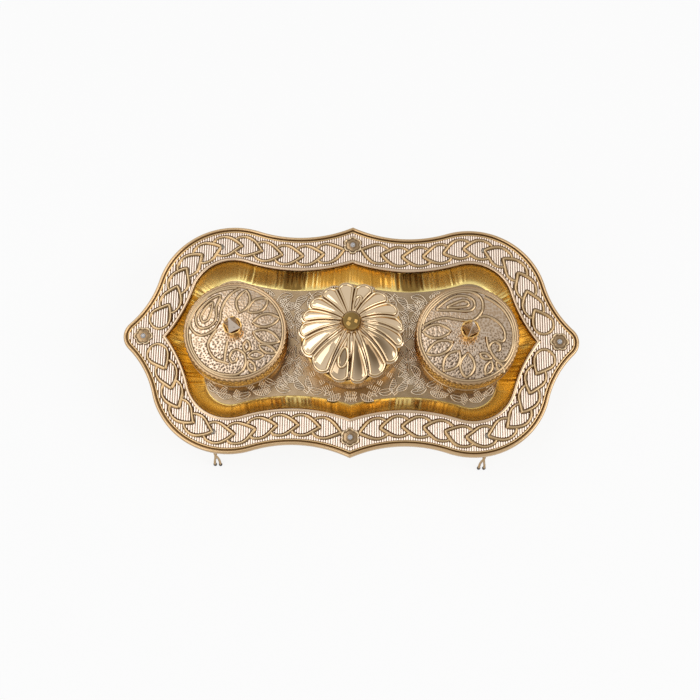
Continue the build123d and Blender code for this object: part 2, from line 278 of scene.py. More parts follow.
@dataclass(frozen=True)
class Finish:
    """A finish, with its material's name and its slot in the record."""

    name: str
    slot: Slot | None

    def make(self) -> bpy.types.Material:
        """Return the material, built on its first use."""
        found = bpy.data.materials.get(self.name)
        if found:
            return found
        material = bpy.data.materials.new(self.name)
        material.use_nodes = True
        bench = Bench(material.node_tree)
        bench.tree.nodes.clear()
        bench.add("ShaderNodeOutputMaterial", {"Surface": self.surface(bench)})
        return material

    def surface(self, bench: Bench) -> Socket:
        """Add the material's nodes and return its shader."""
        raise NotImplementedError


@dataclass(frozen=True)
class Plating(Finish):
    """A plated metal, with a second plating where gilt is 1, and painted shade and highlights over its
    relief.
    """

    tone: Colour
    deep_tone: Colour
    # The recess colour is painted shade where the relief is low, and the crest colour a painted highlight
    # where it is high.
    recess: Colour = (0.10, 0.055, 0.022)
    crest: Colour = (0.95, 0.88, 0.75)
    recess_share: float = 0.0
    crest_share: float = 0.0
    cloud_scale: float = 60.0
    cloud_share: float = 0.5
    grain_scale: float = 2500.0
    rough_low: float = 0.14
    rough_high: float = 0.26
    bump: float = 0.05
    bump_depth: float = 0.00004
    gilt: Colour | None = None
    gilt_deep: Colour | None = None

    def surface(self, bench: Bench) -> Socket:
        """Add both platings, the painted shade and highlights of the relief, and the shader.

        Args:
            bench: The material's tree under construction.

        Returns:
            The shader's socket.
        """
        plating = self._plating(bench, self.tone, self.deep_tone)
        colour = plating["Color"]
        if self.gilt:
            gilding = self._plating(bench, self.gilt, self.gilt_deep)
            colour = bench.mix(bench.attribute("gilt"), colour, gilding["Color"])
        if self.recess_share or self.crest_share:
            shade = {
                "Color": colour, "Relief": bench.attribute("relief"),
                "Recess Shade Color": (*self.recess, 1.0), "Recess Shade Share": self.recess_share,
                "Crest Highlight Color": (*self.crest, 1.0), "Crest Highlight Share": self.crest_share,
            }
            colour = bench.add("ShaderNodeGroup", shade, node_tree=PaintedShadeGroup().tree()).outputs["Color"]
        normal = bench.bump(self.bump, self.bump_depth, plating["Height"])
        return bench.principled(
            {"Metallic": 1.0, "Base Color": colour, "Roughness": plating["Roughness"], "Normal": normal}
        )

    def _plating(self, bench: Bench, tone: Colour, deep_tone: Colour) -> bpy.types.NodeOutputs:
        """Place the plating group with this finish's values.

        Args:
            bench: The material's tree under construction.
            tone: The plating's main colour.
            deep_tone: The colour of its clouds.

        Returns:
            The group's outputs.
        """
        values = {
            "Tone": (*tone, 1.0), "Deep Tone": (*deep_tone, 1.0), "Cloud Scale": self.cloud_scale,
            "Cloud Share": self.cloud_share, "Grain Scale": self.grain_scale,
            "Roughness Low": self.rough_low, "Roughness High": self.rough_high,
        }
        return bench.add("ShaderNodeGroup", values, node_tree=PlatingGroup().tree()).outputs


@dataclass(frozen=True)
class CutStone(Finish):
    """Clear glass with faint clouds in its tint and its roughness."""

    tint: Colour = (0.93, 0.95, 0.99)
    cloud: Colour = (0.8, 0.84, 0.95)
    index: float = 1.6
    clearness: float = 0.6

    def surface(self, bench: Bench) -> Socket:
        """Add the clouds and the shader.

        Args:
            bench: The material's tree under construction.

        Returns:
            The shader's socket.
        """
        noise = bench.noise(900.0)
        share = bench.remap(noise, 0.4, 0.7, 0.0, 0.4)
        return bench.principled({
            "Base Color": bench.mix(share, (*self.tint, 1.0), (*self.cloud, 1.0)),
            "Roughness": bench.remap(noise, 0.3, 0.7, 0.02, 0.12),
            "IOR": self.index,
            "Transmission Weight": self.clearness,
        })


@dataclass(frozen=True)
class SoftCap(Finish):
    """Matt moulded rubber."""

    tone: Colour = (0.03, 0.025, 0.022)
    worn: Colour = (0.07, 0.06, 0.055)

    def surface(self, bench: Bench) -> Socket:
        """Add the worn spots, the pores and the shader.

        Args:
            bench: The material's tree under construction.

        Returns:
            The shader's socket.
        """
        noise = bench.noise(1800.0)
        return bench.principled({
            "Base Color": bench.mix(noise, (*self.tone, 1.0), (*self.worn, 1.0)),
            "Roughness": bench.remap(noise, 0.3, 0.7, 0.5, 0.75),
            "Normal": bench.bump(0.3, 0.00005, noise),
        })


@dataclass(frozen=True)
class PaleFloor(Finish):
    """The studio's floor, which looks white and keeps a soft shadow."""

    tone: float = 0.86
    pale: float = 0.9
    glow: float = 0.86

    def surface(self, bench: Bench) -> Socket:
        """Add the pale surface and the white that is only seen.

        Args:
            bench: The material's tree under construction.

        Returns:
            The shader's socket.
        """
        tones = [(grey, grey, grey, 1.0) for grey in (self.tone, self.pale)]
        matt = bench.principled({"Base Color": bench.mix(bench.noise(6.0), *tones), "Roughness": 0.9})
        glow = bench.add("ShaderNodeEmission").outputs["Emission"]
        share = bench.math("MULTIPLY", bench.seen(), self.glow)
        return bench.add("ShaderNodeMixShader", {0: share, 1: matt, 2: glow}).outputs["Shader"]


RIM_FINISH = Plating(
    "rim plating", Slot.SILVER, (0.62, 0.46, 0.32), (0.50, 0.35, 0.21), recess_share=0.95,
    crest=(0.90, 0.78, 0.62), crest_share=0.35, rough_low=0.16, rough_high=0.3,
    gilt=(0.56, 0.35, 0.13), gilt_deep=(0.42, 0.24, 0.07),
)
RIB_FINISH = Plating(
    "rim rib plating", Slot.SILVER, (0.84, 0.67, 0.54), (0.72, 0.55, 0.42), recess=(0.22, 0.14, 0.08),
    recess_share=0.95, crest=(0.97, 0.87, 0.79), crest_share=0.85, rough_high=0.28,
)
BRAID_FINISH = Plating(
    "braid gilding", Slot.GOLD, (0.29, 0.18, 0.08), (0.22, 0.13, 0.05), recess_share=1.0,
    crest=(0.78, 0.57, 0.33), crest_share=0.7, rough_high=0.28, cloud_share=0.6,
)
WELL_FINISH = Plating(
    "polished well gilding", Slot.GOLD, (1.0, 0.80, 0.31), (0.90, 0.64, 0.21), recess=(0.17, 0.08, 0.012),
    recess_share=0.9, crest=(1.0, 0.82, 0.40), crest_share=0.7, rough_low=0.2, rough_high=0.32,
    cloud_scale=45.0, cloud_share=0.6, bump=0.04,
)
FLOOR_FINISH = Plating(
    "floor plating", Slot.SILVER, (0.36, 0.26, 0.16), (0.25, 0.17, 0.09), rough_low=0.2, rough_high=0.36,
    cloud_scale=110.0, cloud_share=0.8, bump=0.2,
)
FLOOR_CHASING_FINISH = Plating(
    "floor chasing", Slot.SILVER, (0.46, 0.35, 0.23), (0.36, 0.26, 0.16), recess=(0.10, 0.06, 0.03),
    recess_share=0.95, crest=(0.90, 0.79, 0.64), crest_share=0.75, rough_low=0.22, rough_high=0.34,
    cloud_share=0.6,
)
LID_FINISH = Plating(
    "lid plating", Slot.SILVER, (0.56, 0.42, 0.30), (0.46, 0.34, 0.23), recess=(0.09, 0.06, 0.04),
    recess_share=0.95, crest=(0.94, 0.86, 0.77), crest_share=0.7,
    gilt=(0.40, 0.23, 0.08), gilt_deep=(0.28, 0.15, 0.04),
)
LID_WIRE_FINISH = Plating(
    "lid relief gilding", Slot.GOLD, (0.32, 0.21, 0.11), (0.25, 0.16, 0.08), recess_share=1.0,
    crest=(0.74, 0.56, 0.35), crest_share=0.75,
)
STUD_FINISH = Plating(
    "skirt gilding", Slot.GOLD, (0.50, 0.29, 0.08), (0.32, 0.16, 0.04), rough_low=0.22, rough_high=0.34,
    cloud_share=0.7,
)
CUP_FINISH = Plating(
    "cup gilding", Slot.GOLD, (0.66, 0.42, 0.15), (0.48, 0.27, 0.07), rough_low=0.12, rough_high=0.22,
)
PETAL_FINISH = Plating(
    "champagne petals", Slot.CHAMPAGNE, (0.82, 0.63, 0.42), (0.71, 0.52, 0.33), recess=(0.12, 0.07, 0.03),
    recess_share=0.9, crest=(0.98, 0.86, 0.66), crest_share=0.8, rough_low=0.05, rough_high=0.1,
    cloud_share=0.35, bump=0.03,
)
PETAL_BORDER_FINISH = Plating(
    "petal borders", Slot.CHAMPAGNE, (0.50, 0.32, 0.15), (0.40, 0.24, 0.10), recess=(0.10, 0.05, 0.018),
    recess_share=1.0, crest=(0.96, 0.80, 0.56), crest_share=0.8, rough_low=0.06, rough_high=0.14,
    cloud_share=0.4,
)
BALL_FINISH = Plating(
    "polished ball", Slot.GOLD, (0.30, 0.19, 0.06), (0.18, 0.10, 0.03), rough_low=0.03, rough_high=0.06,
    cloud_scale=160.0, cloud_share=0.8, bump=0.01,
)
CALYX_FINISH = Plating(
    "calyx gilding", Slot.GOLD, (0.72, 0.46, 0.17), (0.48, 0.27, 0.07), rough_high=0.3,
)
BUD_FINISH = Plating(
    "faceted bud plating", Slot.SILVER, (0.62, 0.52, 0.43), (0.40, 0.32, 0.25), rough_low=0.08,
    rough_high=0.18, cloud_share=0.6,
)
ROSETTE_FINISH = Plating(
    "rosette gilding", Slot.GOLD, (0.34, 0.23, 0.13), (0.25, 0.16, 0.08), recess_share=1.0,
    crest=(0.88, 0.72, 0.48), crest_share=0.5, rough_low=0.16, rough_high=0.28,
)
LEG_FINISH = Plating(
    "leg wire gilding", Slot.GOLD, (0.46, 0.31, 0.16), (0.32, 0.20, 0.09), rough_low=0.2, rough_high=0.35,
)
RIVET_FINISH = Plating(
    "dull rivet metal", Slot.RIVET, (0.24, 0.21, 0.17), (0.14, 0.12, 0.1), rough_low=0.35, rough_high=0.5,
    cloud_scale=400.0,
)
STONE_FINISH = CutStone("clear cut stone", Slot.STONE)
CAP_FINISH = SoftCap("dark rubber cap", Slot.CAP)


def round_steps(columns: int) -> np.ndarray:
    """Return evenly spaced angles once round."""
    return np.linspace(0, TAU, columns, endpoint=False)


def polar(turn: np.ndarray, radius: float | np.ndarray, centre: Sequence[float] = (0.0, 0.0)) -> np.ndarray:
    """Return points in plan about a centre.

    Args:
        turn: Their angles.
        radius: One radius for all the points, or one for each.
        centre: X and Y of the centre.

    Returns:
        One row of X and Y for each point.
    """
    return np.column_stack([np.cos(turn), np.sin(turn)]) * np.reshape(radius, (-1, 1)) + np.asarray(centre)


def unit(way: np.ndarray) -> np.ndarray:
    """Return vectors in plan scaled to a length of 1."""
    return way / np.maximum(np.hypot(way[..., 0], way[..., 1]), 1e-9)[..., None]


def smooth_path(points: Sequence[Sequence[float]], steps: int, closed: bool = False) -> np.ndarray:
    """Return a Catmull-Rom curve.

    Args:
        points: The points that the curve passes through.
        steps: Samples from one point to the next.
        closed: Whether the curve returns to its start.

    Returns:
        One row for each sample.
    """
    knots = np.asarray(points, float)
    if closed:
        knots = np.vstack([knots[-1], knots, knots[:2]])
    else:
        knots = np.vstack([2 * knots[0] - knots[1], knots, 2 * knots[-1] - knots[-2]])
    share = np.linspace(0, 1, steps, endpoint=False)[:, None]
    pieces = []
    for before, start, end, after in zip(knots, knots[1:], knots[2:], knots[3:]):
        bend = 2 * before - 5 * start + 4 * end - after
        twist = -before + 3 * start - 3 * end + after
        pieces.append(start + 0.5 * share * ((end - before) + share * (bend + share * twist)))
    if not closed:
        pieces.append(knots[-2][None, :])
    return np.vstack(pieces)


@dataclass
class Shell:
    """A mesh under construction, with points in millimetres, faces, edges and values on the points."""

    name: str
    points: list[np.ndarray] = field(default_factory=list)
    faces: list[tuple[int, ...]] = field(default_factory=list)
    edges: list[tuple[int, int]] = field(default_factory=list)
    values: dict[str, list[np.ndarray]] = field(default_factory=dict)
    count: int = 0

    def put(self, plan: np.ndarray, height: float | np.ndarray, **values: float | np.ndarray) -> int:
        """Add points.

        Args:
            plan: One row of X and Y for each point.
            height: One Z for all the points, or one for each.
            values: Named values, one number for all the points or one for each.

        Returns:
            The index of the first new point.
        """
        first = self.count
        self.points.append(np.column_stack([plan, np.broadcast_to(height, (len(plan),))]))
        for name, value in values.items():
            self.values.setdefault(name, []).append(np.broadcast_to(value, (len(plan),)))
        self.count += len(plan)
        return first

    def turned(
        self, profile: Sequence[Point], centre: Point, base: float, columns: int, **values: float
    ) -> list[int]:
        """Add a row of points round an upright axis for each point of a profile.

        Args:
            profile: Points of (radius, height).
            centre: X and Y of the axis.
            base: The level from which the heights count.
            columns: How many points a row has.
            values: Named values of all the points.

        Returns:
            The index of each row's first point.
        """
        turn = round_steps(columns)
        return [self.put(polar(turn, radius, centre), base + height, **values) for radius, height in profile]

    def skin(self, rows: Sequence[int], across: int, closed: bool = False) -> None:
        """Join closed rows of points into quads.

        Args:
            rows: The index of each row's first point.
            across: How many points a row has.
            closed: Whether the last row joins the first.
        """
        after = [*rows[1:], rows[0]] if closed else rows[1:]
        for low, high in zip(rows, after):
            for index in range(across):
                other = (index + 1) % across
                self.faces.append((low + index, low + other, high + other, high + index))

    def tube(self, rows: Sequence[int], across: int) -> None:
        """Join closed rows of points into quads, and close the first and the last row.

        Args:
            rows: The index of each row's first point.
            across: How many points a row has.
        """
        self.skin(rows, across)
        self.faces.append(tuple(range(rows[-1], rows[-1] + across)))
        self.faces.append(tuple(range(rows[0], rows[0] + across))[::-1])

    def fan(self, row: int, across: int, tip: Sequence[float], flip: bool = False, **values: float) -> None:
        """Close a row of points with triangles that meet in a new point.

        Args:
            row: The index of the row's first point.
            across: How many points the row has.
            tip: X, Y and Z of the new point.
            flip: Whether the faces point the other way.
            values: Named values of the new point.
        """
        middle = self.put(np.array([tip[:2]], float), tip[2], **values)
        for index in range(across):
            corner = (row + index, row + (index + 1) % across, middle)
            self.faces.append(corner[::-1] if flip else corner)

    def make(self, finish: Finish, sharp: float = 35.0) -> bpy.types.Object:
        """Write the mesh in metres.

        Args:
            finish: The finish of the whole piece.
            sharp: Edges that turn by more than this many degrees stay sharp.

        Returns:
            The new object, at the origin.
        """
        mesh = bpy.data.meshes.new(self.name)
        mesh.from_pydata((np.vstack(self.points) * MM).tolist(), self.edges, self.faces)
        for name, parts in self.values.items():
            numbers = np.concatenate(parts).astype(np.float32)
            mesh.attributes.new(name, "FLOAT", "POINT").data.foreach_set("value", numbers)
        mesh.validate()
        mesh.polygons.foreach_set("use_smooth", [True] * len(mesh.polygons))
        mesh.set_sharp_from_angle(angle=math.radians(sharp))
        mesh.materials.append(finish.make())
        piece = bpy.data.objects.new(self.name, mesh)
        bpy.context.scene.collection.objects.link(piece)
        return piece


def settle(piece: bpy.types.Object, body: Body, finish: Finish, *nodes: str) -> None:
    """Let a finished piece ride on its body.

    Args:
        piece: The finished object.
        body: The body that it moves with.
        finish: Its finish; not used.
        nodes: The frame's nodes that it stands for.
    """
    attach(piece, body.value)
    if nodes:
        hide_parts(*nodes)
    log.info("%s: %d faces on %s", piece.name, len(piece.data.polygons), body.value)


def dress(node: str, finish: Finish) -> None:
    """Give a node of the frame a finish of its own.

    Args:
        node: Name of the node.
        finish: What it is dressed in.
    """
    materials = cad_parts[node].data.materials
    materials.clear()
    materials.append(finish.make())


class PieceGroup(NodeGroup):
    """A Geometry Nodes tree that shapes a piece and gives it its finish."""

    kind = "GeometryNodeTree"
    outputs = {"Geometry": "Geometry"}

    def tree(self) -> bpy.types.NodeTree:
        """Return the tree, built on its first use and ready for a modifier."""
        tree = super().tree()
        tree.is_modifier = True
        return tree

    def build(self, bench: Bench, given: bpy.types.NodeOutputs) -> Inputs:
        """Add the shape, then make its instances real, smooth its faces and set its material.

        Args:
            bench: The tree under construction.
            given: The sockets of the tree's inputs.

        Returns:
            The socket for the tree's output.
        """
        piece = self.shape(bench, given)
        for kind in ("GeometryNodeSetShadeSmooth", "GeometryNodeRealizeInstances"):
            piece = bench.add(kind, {"Geometry": piece}).outputs["Geometry"]
        paint = {"Geometry": piece, "Material": given["Finish"]}
        return {"Geometry": bench.add("GeometryNodeSetMaterial", paint).outputs["Geometry"]}

    def shape(self, bench: Bench, given: bpy.types.NodeOutputs) -> Socket:
        """Add the nodes of the piece's shape.

        Args:
            bench: The tree under construction.
            given: The sockets of the tree's inputs.

        Returns:
            The shape's socket.
        """
        raise NotImplementedError

    def grow(self, piece: bpy.types.Object, **inputs: object) -> bpy.types.Object:
        """Run the tree on a piece and keep its result as a plain mesh.

        Args:
            piece: The object whose mesh feeds the tree.
            inputs: Values of the tree's inputs, by their names.

        Returns:
            The same object with the new mesh and without the modifier.
        """
        modifier = piece.modifiers.new("shape", "NODES")
        modifier.node_group = self.tree()
        for item in modifier.node_group.interface.items_tree:
            if item.in_out == "INPUT" and item.name in inputs:
                modifier[item.identifier] = inputs[item.name]
        graph = bpy.context.evaluated_depsgraph_get()
        mesh = bpy.data.meshes.new_from_object(piece.evaluated_get(graph))
        mesh.name = piece.name
        piece.modifiers.remove(modifier)
        piece.data = mesh
        return piece


class Profile(Enum):
    """Cross-sections of a wire."""

    BELL = "raised line with broad feet"
    ROUND = "round rod"


class WireGroup(PieceGroup):
    """A wire along every path of a piece."""

    inputs = {
        "Geometry": "Geometry", "Width": "Float", "Height": "Float", "Sides": "Int", "Finish": "Material",
    }

    def __init__(self, profile: Profile) -> None:
        """Keep the cross-section that the tree draws."""
        self.profile = profile
        self.name = profile.value

    def shape(self, bench: Bench, given: bpy.types.NodeOutputs) -> Socket:
        """Sweep the cross-section along the paths.

        Args:
            bench: The tree under construction.
            given: The sockets of the tree's inputs.

        Returns:
            The shape's socket.
        """
        curve = bench.add("GeometryNodeMeshToCurve", {"Mesh": given["Geometry"]}).outputs["Curve"]
        upright = bench.add("GeometryNodeSetCurveNormal", {"Curve": curve}, mode="Z_UP").outputs["Curve"]
        inputs = {"Curve": upright, "Profile Curve": self._outline(bench, given), "Fill Caps": True}
        return bench.add("GeometryNodeCurveToMesh", inputs).outputs["Mesh"]

    def _outline(self, bench: Bench, given: bpy.types.NodeOutputs) -> Socket:
        """Shape a circle into the cross-section, whose up is the circle's own -Y.

        Args:
            bench: The tree under construction.
            given: The sockets of the tree's inputs.

        Returns:
            The outline, with its relief from foot (0) to crest (1) as an attribute, which paints shade at the
            wire's foot and a highlight on its crest.
        """
        circle = bench.add("GeometryNodeCurvePrimitiveCircle", {"Resolution": given["Sides"], "Radius": 1.0})
        position = bench.add("GeometryNodeInputPosition").outputs["Position"]
        place = bench.add("ShaderNodeSeparateXYZ", {"Vector": position}).outputs
        rise = bench.math("MULTIPLY", place["Y"], -1.0)
        relief = bench.math("MAXIMUM", rise, 0.0)
        if self.profile is Profile.BELL:
            wave = bench.math("COSINE", bench.math("MULTIPLY", place["X"], math.pi))
            upper = bench.math("GREATER_THAN", rise, 0.001)
            relief = bench.math("MULTIPLY", upper, bench.math("MULTIPLY", bench.math("ADD", wave, 1.0), 0.5))
            sunk = bench.math("MULTIPLY", bench.math("SUBTRACT", 1.0, upper), 0.25)
            rise = bench.math("SUBTRACT", relief, sunk)
        half = bench.math("MULTIPLY", given["Width"], 0.5)
        down = bench.math("MULTIPLY", given["Height"], -1.0)
        corner = {"X": bench.math("MULTIPLY", place["X"], half), "Y": bench.math("MULTIPLY", rise, down)}
        point = bench.add("ShaderNodeCombineXYZ", corner).outputs["Vector"]
        # The kept relief paints shade at the wire's feet and a highlight on its crest.
        kept = {"Geometry": circle.outputs["Curve"], "Name": "relief", "Value": relief}
        keep = bench.add("GeometryNodeStoreNamedAttribute", kept, data_type="FLOAT", domain="POINT")
        moved = {"Geometry": keep.outputs["Geometry"], "Position": point}
        return bench.add("GeometryNodeSetPosition", moved).outputs["Geometry"]


class StudGroup(PieceGroup):
    """A flattened round stud on every point, turned by the point's own angle."""

    name = "round studs on points"
    inputs = {
        "Geometry": "Geometry", "Depth": "Float", "Breadth": "Float", "Rise": "Float", "Finish": "Material",
    }

    def shape(self, bench: Bench, given: bpy.types.NodeOutputs) -> Socket:
        """Set a scaled ball on each point.

        Args:
            bench: The tree under construction.
            given: The sockets of the tree's inputs.

        Returns:
            The shape's socket.
        """
        ball = bench.add("GeometryNodeMeshIcoSphere", {"Radius": 1.0, "Subdivisions": 2}).outputs["Mesh"]
        sizes = {"X": given["Depth"], "Y": given["Breadth"], "Z": given["Rise"]}
        size = bench.add("ShaderNodeCombineXYZ", sizes)
        angle = bench.add("GeometryNodeInputNamedAttribute", {"Name": "turn"}, data_type="FLOAT")
        turn = bench.add("ShaderNodeCombineXYZ", {"Z": angle.outputs["Attribute"]})
        inputs = {
            "Points": given["Geometry"], "Instance": ball,
            "Rotation": turn.outputs["Vector"], "Scale": size.outputs["Vector"],
        }
        return bench.add("GeometryNodeInstanceOnPoints", inputs).outputs["Instances"]


@dataclass
class WireWork:
    """Paths that one raised wire follows."""

    name: str
    width: float
    height: float
    finish: Finish
    sides: int = 12
    profile: Profile = Profile.BELL

    def __post_init__(self) -> None:
        """Start an empty set of paths."""
        self.shell = Shell(self.name)

    def path(self, plan: np.ndarray, height: float | np.ndarray, closed: bool = False) -> None:
        """Add one path.

        Args:
            plan: One row of X and Y for each of its points.
            height: One Z for all the points, or one for each.
            closed: Whether its last point joins its first.
        """
        first = self.shell.put(plan, height)
        last = self.shell.count - 1
        self.shell.edges += [(index, index + 1) for index in range(first, last)]
        if closed:
            self.shell.edges.append((last, first))

    def settle(self, body: Body, *nodes: str) -> None:
        """Draw the wires and settle them on a body.

        Args:
            body: The body that they ride on.
            nodes: Nodes of the frame that they replace.
        """
        piece = self.shell.make(self.finish)
        sizes = {"Width": self.width * MM, "Height": self.height * MM, "Sides": self.sides}
        WireGroup(self.profile).grow(piece, **sizes, Finish=self.finish.make())
        settle(piece, body, self.finish, *nodes)


@dataclass(frozen=True)
class TrayOutline:
    """The tray's outline in plan, with a round lobe in each quarter, hollow arcs and pointed tips."""

    length: float
    width: float
    end_tip_radius: float = 8.0
    end_hollow_radius: float = 45.0
    lobe_radius: float = 35.0
    lobe_x: float = 53.7
    lobe_y: float = 17.85
    waist_hollow_radius: float = 59.3
    tip_steps: int = 10
    hollow_steps: int = 30
    lobe_steps: int = 64
    waist_steps: int = 40

    @property
    def quarter_steps(self) -> int:
        """Samples along a quarter."""
        return self.tip_steps + self.hollow_steps + self.lobe_steps + self.waist_steps

    @staticmethod
    def _crossing(
        centre: np.ndarray, radius: float, other: np.ndarray, other_radius: float, side: int
    ) -> np.ndarray:
        """Return where two circles cross.

        Args:
            centre: Centre of the first circle.
            radius: Its radius.
            other: Centre of the second circle.
            other_radius: Its radius.
            side: 1 for the crossing on the left of the way from centre to centre, -1 for the right.

        Returns:
            X and Y of the crossing.
        """
        gap = float(np.hypot(*(other - centre)))
        along = (radius**2 - other_radius**2 + gap**2) / (2 * gap)
        across = math.sqrt(radius**2 - along**2)
        way = (other - centre) / gap
        return centre + way * along + np.array([-way[1], way[0]]) * across * side

    @staticmethod
    def _arc(centre: np.ndarray, start: np.ndarray, end: np.ndarray, steps: int) -> np.ndarray:
        """Sample the shorter arc about a centre.

        Args:
            centre: The arc's centre.
            start: Its first point.
            end: Its last point, which is left out.
            steps: How many samples there are.

        Returns:
            One row of X and Y for each sample.
        """
        first, last = (math.atan2(point[1] - centre[1], point[0] - centre[0]) for point in (start, end))
        sweep = (last - first + math.pi) % TAU - math.pi
        turn = first + sweep * np.linspace(0, 1, steps, endpoint=False)
        return polar(turn, np.hypot(*(start - centre)), centre)

    def quarter(self, inset: float) -> np.ndarray:
        """Sample the first quarter, from the right tip to the rear tip.

        Args:
            inset: How far the outline is moved inwards.

        Returns:
            One row of X and Y for each sample, both ends included.
        """
        lobe = np.array([self.lobe_x, self.lobe_y])
        tip = np.array([self.length / 2 - self.end_tip_radius, 0.0])
        rear_tip = np.array([0.0, self.width / 2])
        end_reach = self.lobe_radius + self.end_hollow_radius
        end = self._crossing(lobe, end_reach, tip, self.end_hollow_radius + self.end_tip_radius, 1)
        waist_reach = self.lobe_radius + self.waist_hollow_radius
        waist = self._crossing(lobe, waist_reach, rear_tip, self.waist_hollow_radius, -1)
        reach = self.lobe_radius - inset
        lobe_start, lobe_end = (lobe + unit(hollow - lobe) * reach for hollow in (end, waist))
        drop = math.sqrt((self.waist_hollow_radius + inset) ** 2 - waist[0] ** 2)
        rear = np.array([0.0, waist[1] - drop])
        runs = []
        hollow_steps = self.hollow_steps
        if inset < self.end_tip_radius:
            reach = self.end_tip_radius - inset
            start = tip + unit(end - tip) * reach
            runs.append(self._arc(tip, tip + np.array([reach, 0.0]), start, self.tip_steps))
        else:
            reach = math.sqrt((self.end_hollow_radius + inset) ** 2 - end[1] ** 2)
            start = np.array([end[0] - reach, 0.0])
            hollow_steps += self.tip_steps
        runs.append(self._arc(end, start, lobe_start, hollow_steps))
        runs.append(self._arc(lobe, lobe_start, lobe_end, self.lobe_steps))
        runs.append(self._arc(waist, lobe_end, rear, self.waist_steps))
        return np.vstack([*runs, rear[None, :]])

    def ring(self, inset: float) -> np.ndarray:
        """Return the whole outline, counter-clockwise from the right tip.

        Args:
            inset: How far inside the rim's edge it runs.

        Returns:
            Its points as rows of X and Y.
        """
        first = self.quarter(inset)
        quarters = [first, (first * (-1, 1))[::-1], first * (-1, -1), (first * (1, -1))[::-1]]
        return np.vstack([quarter[:-1] for quarter in quarters])


@dataclass
class Rim:
    """The broad rim with its rolled edge, beads, ribbed ground, braid, rosettes and rivets."""

    outline: TrayOutline
    level: Level
    ground_inset: float = 2.65
    ground_end: float = 14.7
    ground_drop: float = 0.07
    rib_pitch: float = 1.06
    rib_height: float = 0.24
    braid_inset: float = 8.8
    braid_width: float = 2.05
    braid_height: float = 0.66
    braid_lift: float = 0.02
    braid_pitch: float = 9.35
    braid_first_tip: float = 18.2
    braid_last_tip: float = 4.4
    rosette_inset: float = 8.9
    petal_reach: float = 3.5
    petal_swell: float = 0.95
    disc_radius: float = 3.9

    def edge_profile(self) -> list[tuple[float, float, float, float]]:
        """Return roll, groove, bead and mouth as (inset, height above the rim, gilt, relief), where relief
        paints shade in the grooves and a highlight on the crests.
        """
        under = [(2.4, -1.0, 0.6, 0.5), (2.4, -2.1, 0.6, 0.5), (2.0, -2.45, 0.6, 0.5), (0.7, -2.5, 0.6, 0.5)]
        side = [(0.2, -2.2, 0.6, 0.5), (0.0, -1.6, 0.6, 0.45), (0.0, -0.4, 0.6, 0.4), (0.08, 0.15, 0.55, 0.4)]
        crown = [(0.3, 0.55, 0.5, 0.5), (0.68, 0.74, 0.45, 0.6), (1.05, 0.68, 0.5, 0.5)]
        groove = [(1.32, 0.42, 0.7, 0.3), (1.46, 0.1, 0.8, 0.0), (1.56, -0.08, 1.0, 0.0)]
        bead = [(1.74, -0.08, 1.0, 0.0), (1.86, 0.1, 1.0, 0.45)]
        bead += [(2.08, 0.34, 1.0, 0.85), (2.36, 0.34, 1.0, 0.8)]
        ground = [(2.6, 0.08, 1.0, 0.3), (2.7, -0.08, 0.3, 0.0), (14.6, -0.08, 0.0, 0.0)]
        lip = [(14.72, 0.1, 0.1, 0.3), (15.0, 0.32, 0.1, 0.6), (15.45, 0.44, 0.1, 0.7)]
        mouth = [(15.85, 0.4, 0.1, 0.62), (16.1, 0.22, 0.1, 0.5), (16.26, -0.02, 0.2, 0.35)]
        wall = [(16.36, -0.3, 0.4, 0.0), (MOUTH_INSET, -0.6, 0.6, 0.0), (MOUTH_INSET, -RIM_SHEET, 0.8, 0.2)]
        return under + side + crown + groove + bead + ground + lip + mouth + wall

    def make_sheet(self) -> None:
        """Make the rim's sheet with its rolled edge and beads."""
        shell = Shell("rim_sheet")
        rows = []
        for inset, height, gilt, relief in self.edge_profile():
            plan = self.outline.ring(inset)
            rows.append(shell.put(plan, self.level.rim_top + height, gilt=gilt, relief=relief))
        shell.skin(rows, 4 * self.outline.quarter_steps, closed=True)
        settle(shell.make(RIM_FINISH, sharp=50.0), Body.TRAY, RIM_FINISH, "tray_rim")

    def make_ribs(self) -> None:
        """Make the fine ribs across the ground, cut where the beads begin."""
        work = WireWork("rim_ground_ribs", self.rib_pitch, self.rib_height, RIB_FINISH)
        edges = [self.outline.ring(inset) for inset in (self.ground_inset, self.ground_end)]
        half = int(self.outline.length / 2 / self.rib_pitch)
        for index in range(-half, half + 1):
            x = (index + 0.5) * self.rib_pitch
            marks = sorted(y for edge in edges for y in self._crossings(edge, x))
            for low, high in zip(marks[::2], marks[1::2]):
                if high - low > self.rib_pitch:
                    work.path(np.array([[x, low], [x, high]]), self.level.rim_top - self.ground_drop)
        work.settle(Body.TRAY)

    @staticmethod
    def _crossings(ring: np.ndarray, x: float) -> list[float]:
        """Return where the line at x crosses a closed ring.

        Args:
            ring: The ring's points.
            x: The place of the line, which runs along Y.

        Returns:
            Y of each crossing.
        """
        end = np.roll(ring, -1, axis=0)
        hit = (ring[:, 0] - x) * (end[:, 0] - x) < 0
        share = (x - ring[hit, 0]) / (end[hit, 0] - ring[hit, 0])
        return (ring[hit, 1] + share * (end[hit, 1] - ring[hit, 1])).tolist()

    def _link(self, first: bool) -> np.ndarray:
        """Return one heart of the braid.

        Args:
            first: Whether it is the closed heart at the start of a quarter.

        Returns:
            Rows of (along, across, rise), with the heart's tip at the origin.
        """
        if first:
            rear = [(-12.2, 0.0, 0.0), (-11.8, 1.8, 0.0), (-10.7, 3.4, 0.0), (-9.0, 4.35, 0.0)]
        else:
            rear = [(-12.5, 2.45, -0.1), (-11.9, 3.2, 0.0), (-10.9, 3.95, 0.0), (-9.4, 4.45, 0.0)]
        side = [(-7.5, 4.6, 0.02), (-5.5, 4.1, 0.1), (-3.6, 3.0, 0.2), (-1.9, 1.75, 0.3), (-0.7, 0.75, 0.34)]
        half = smooth_path(rear + side + [(0.0, 0.03, 0.34)], 6)
        whole = np.vstack([half, (half * (1, -1, 1))[::-1][1:]])
        return whole[:-1] if first else whole

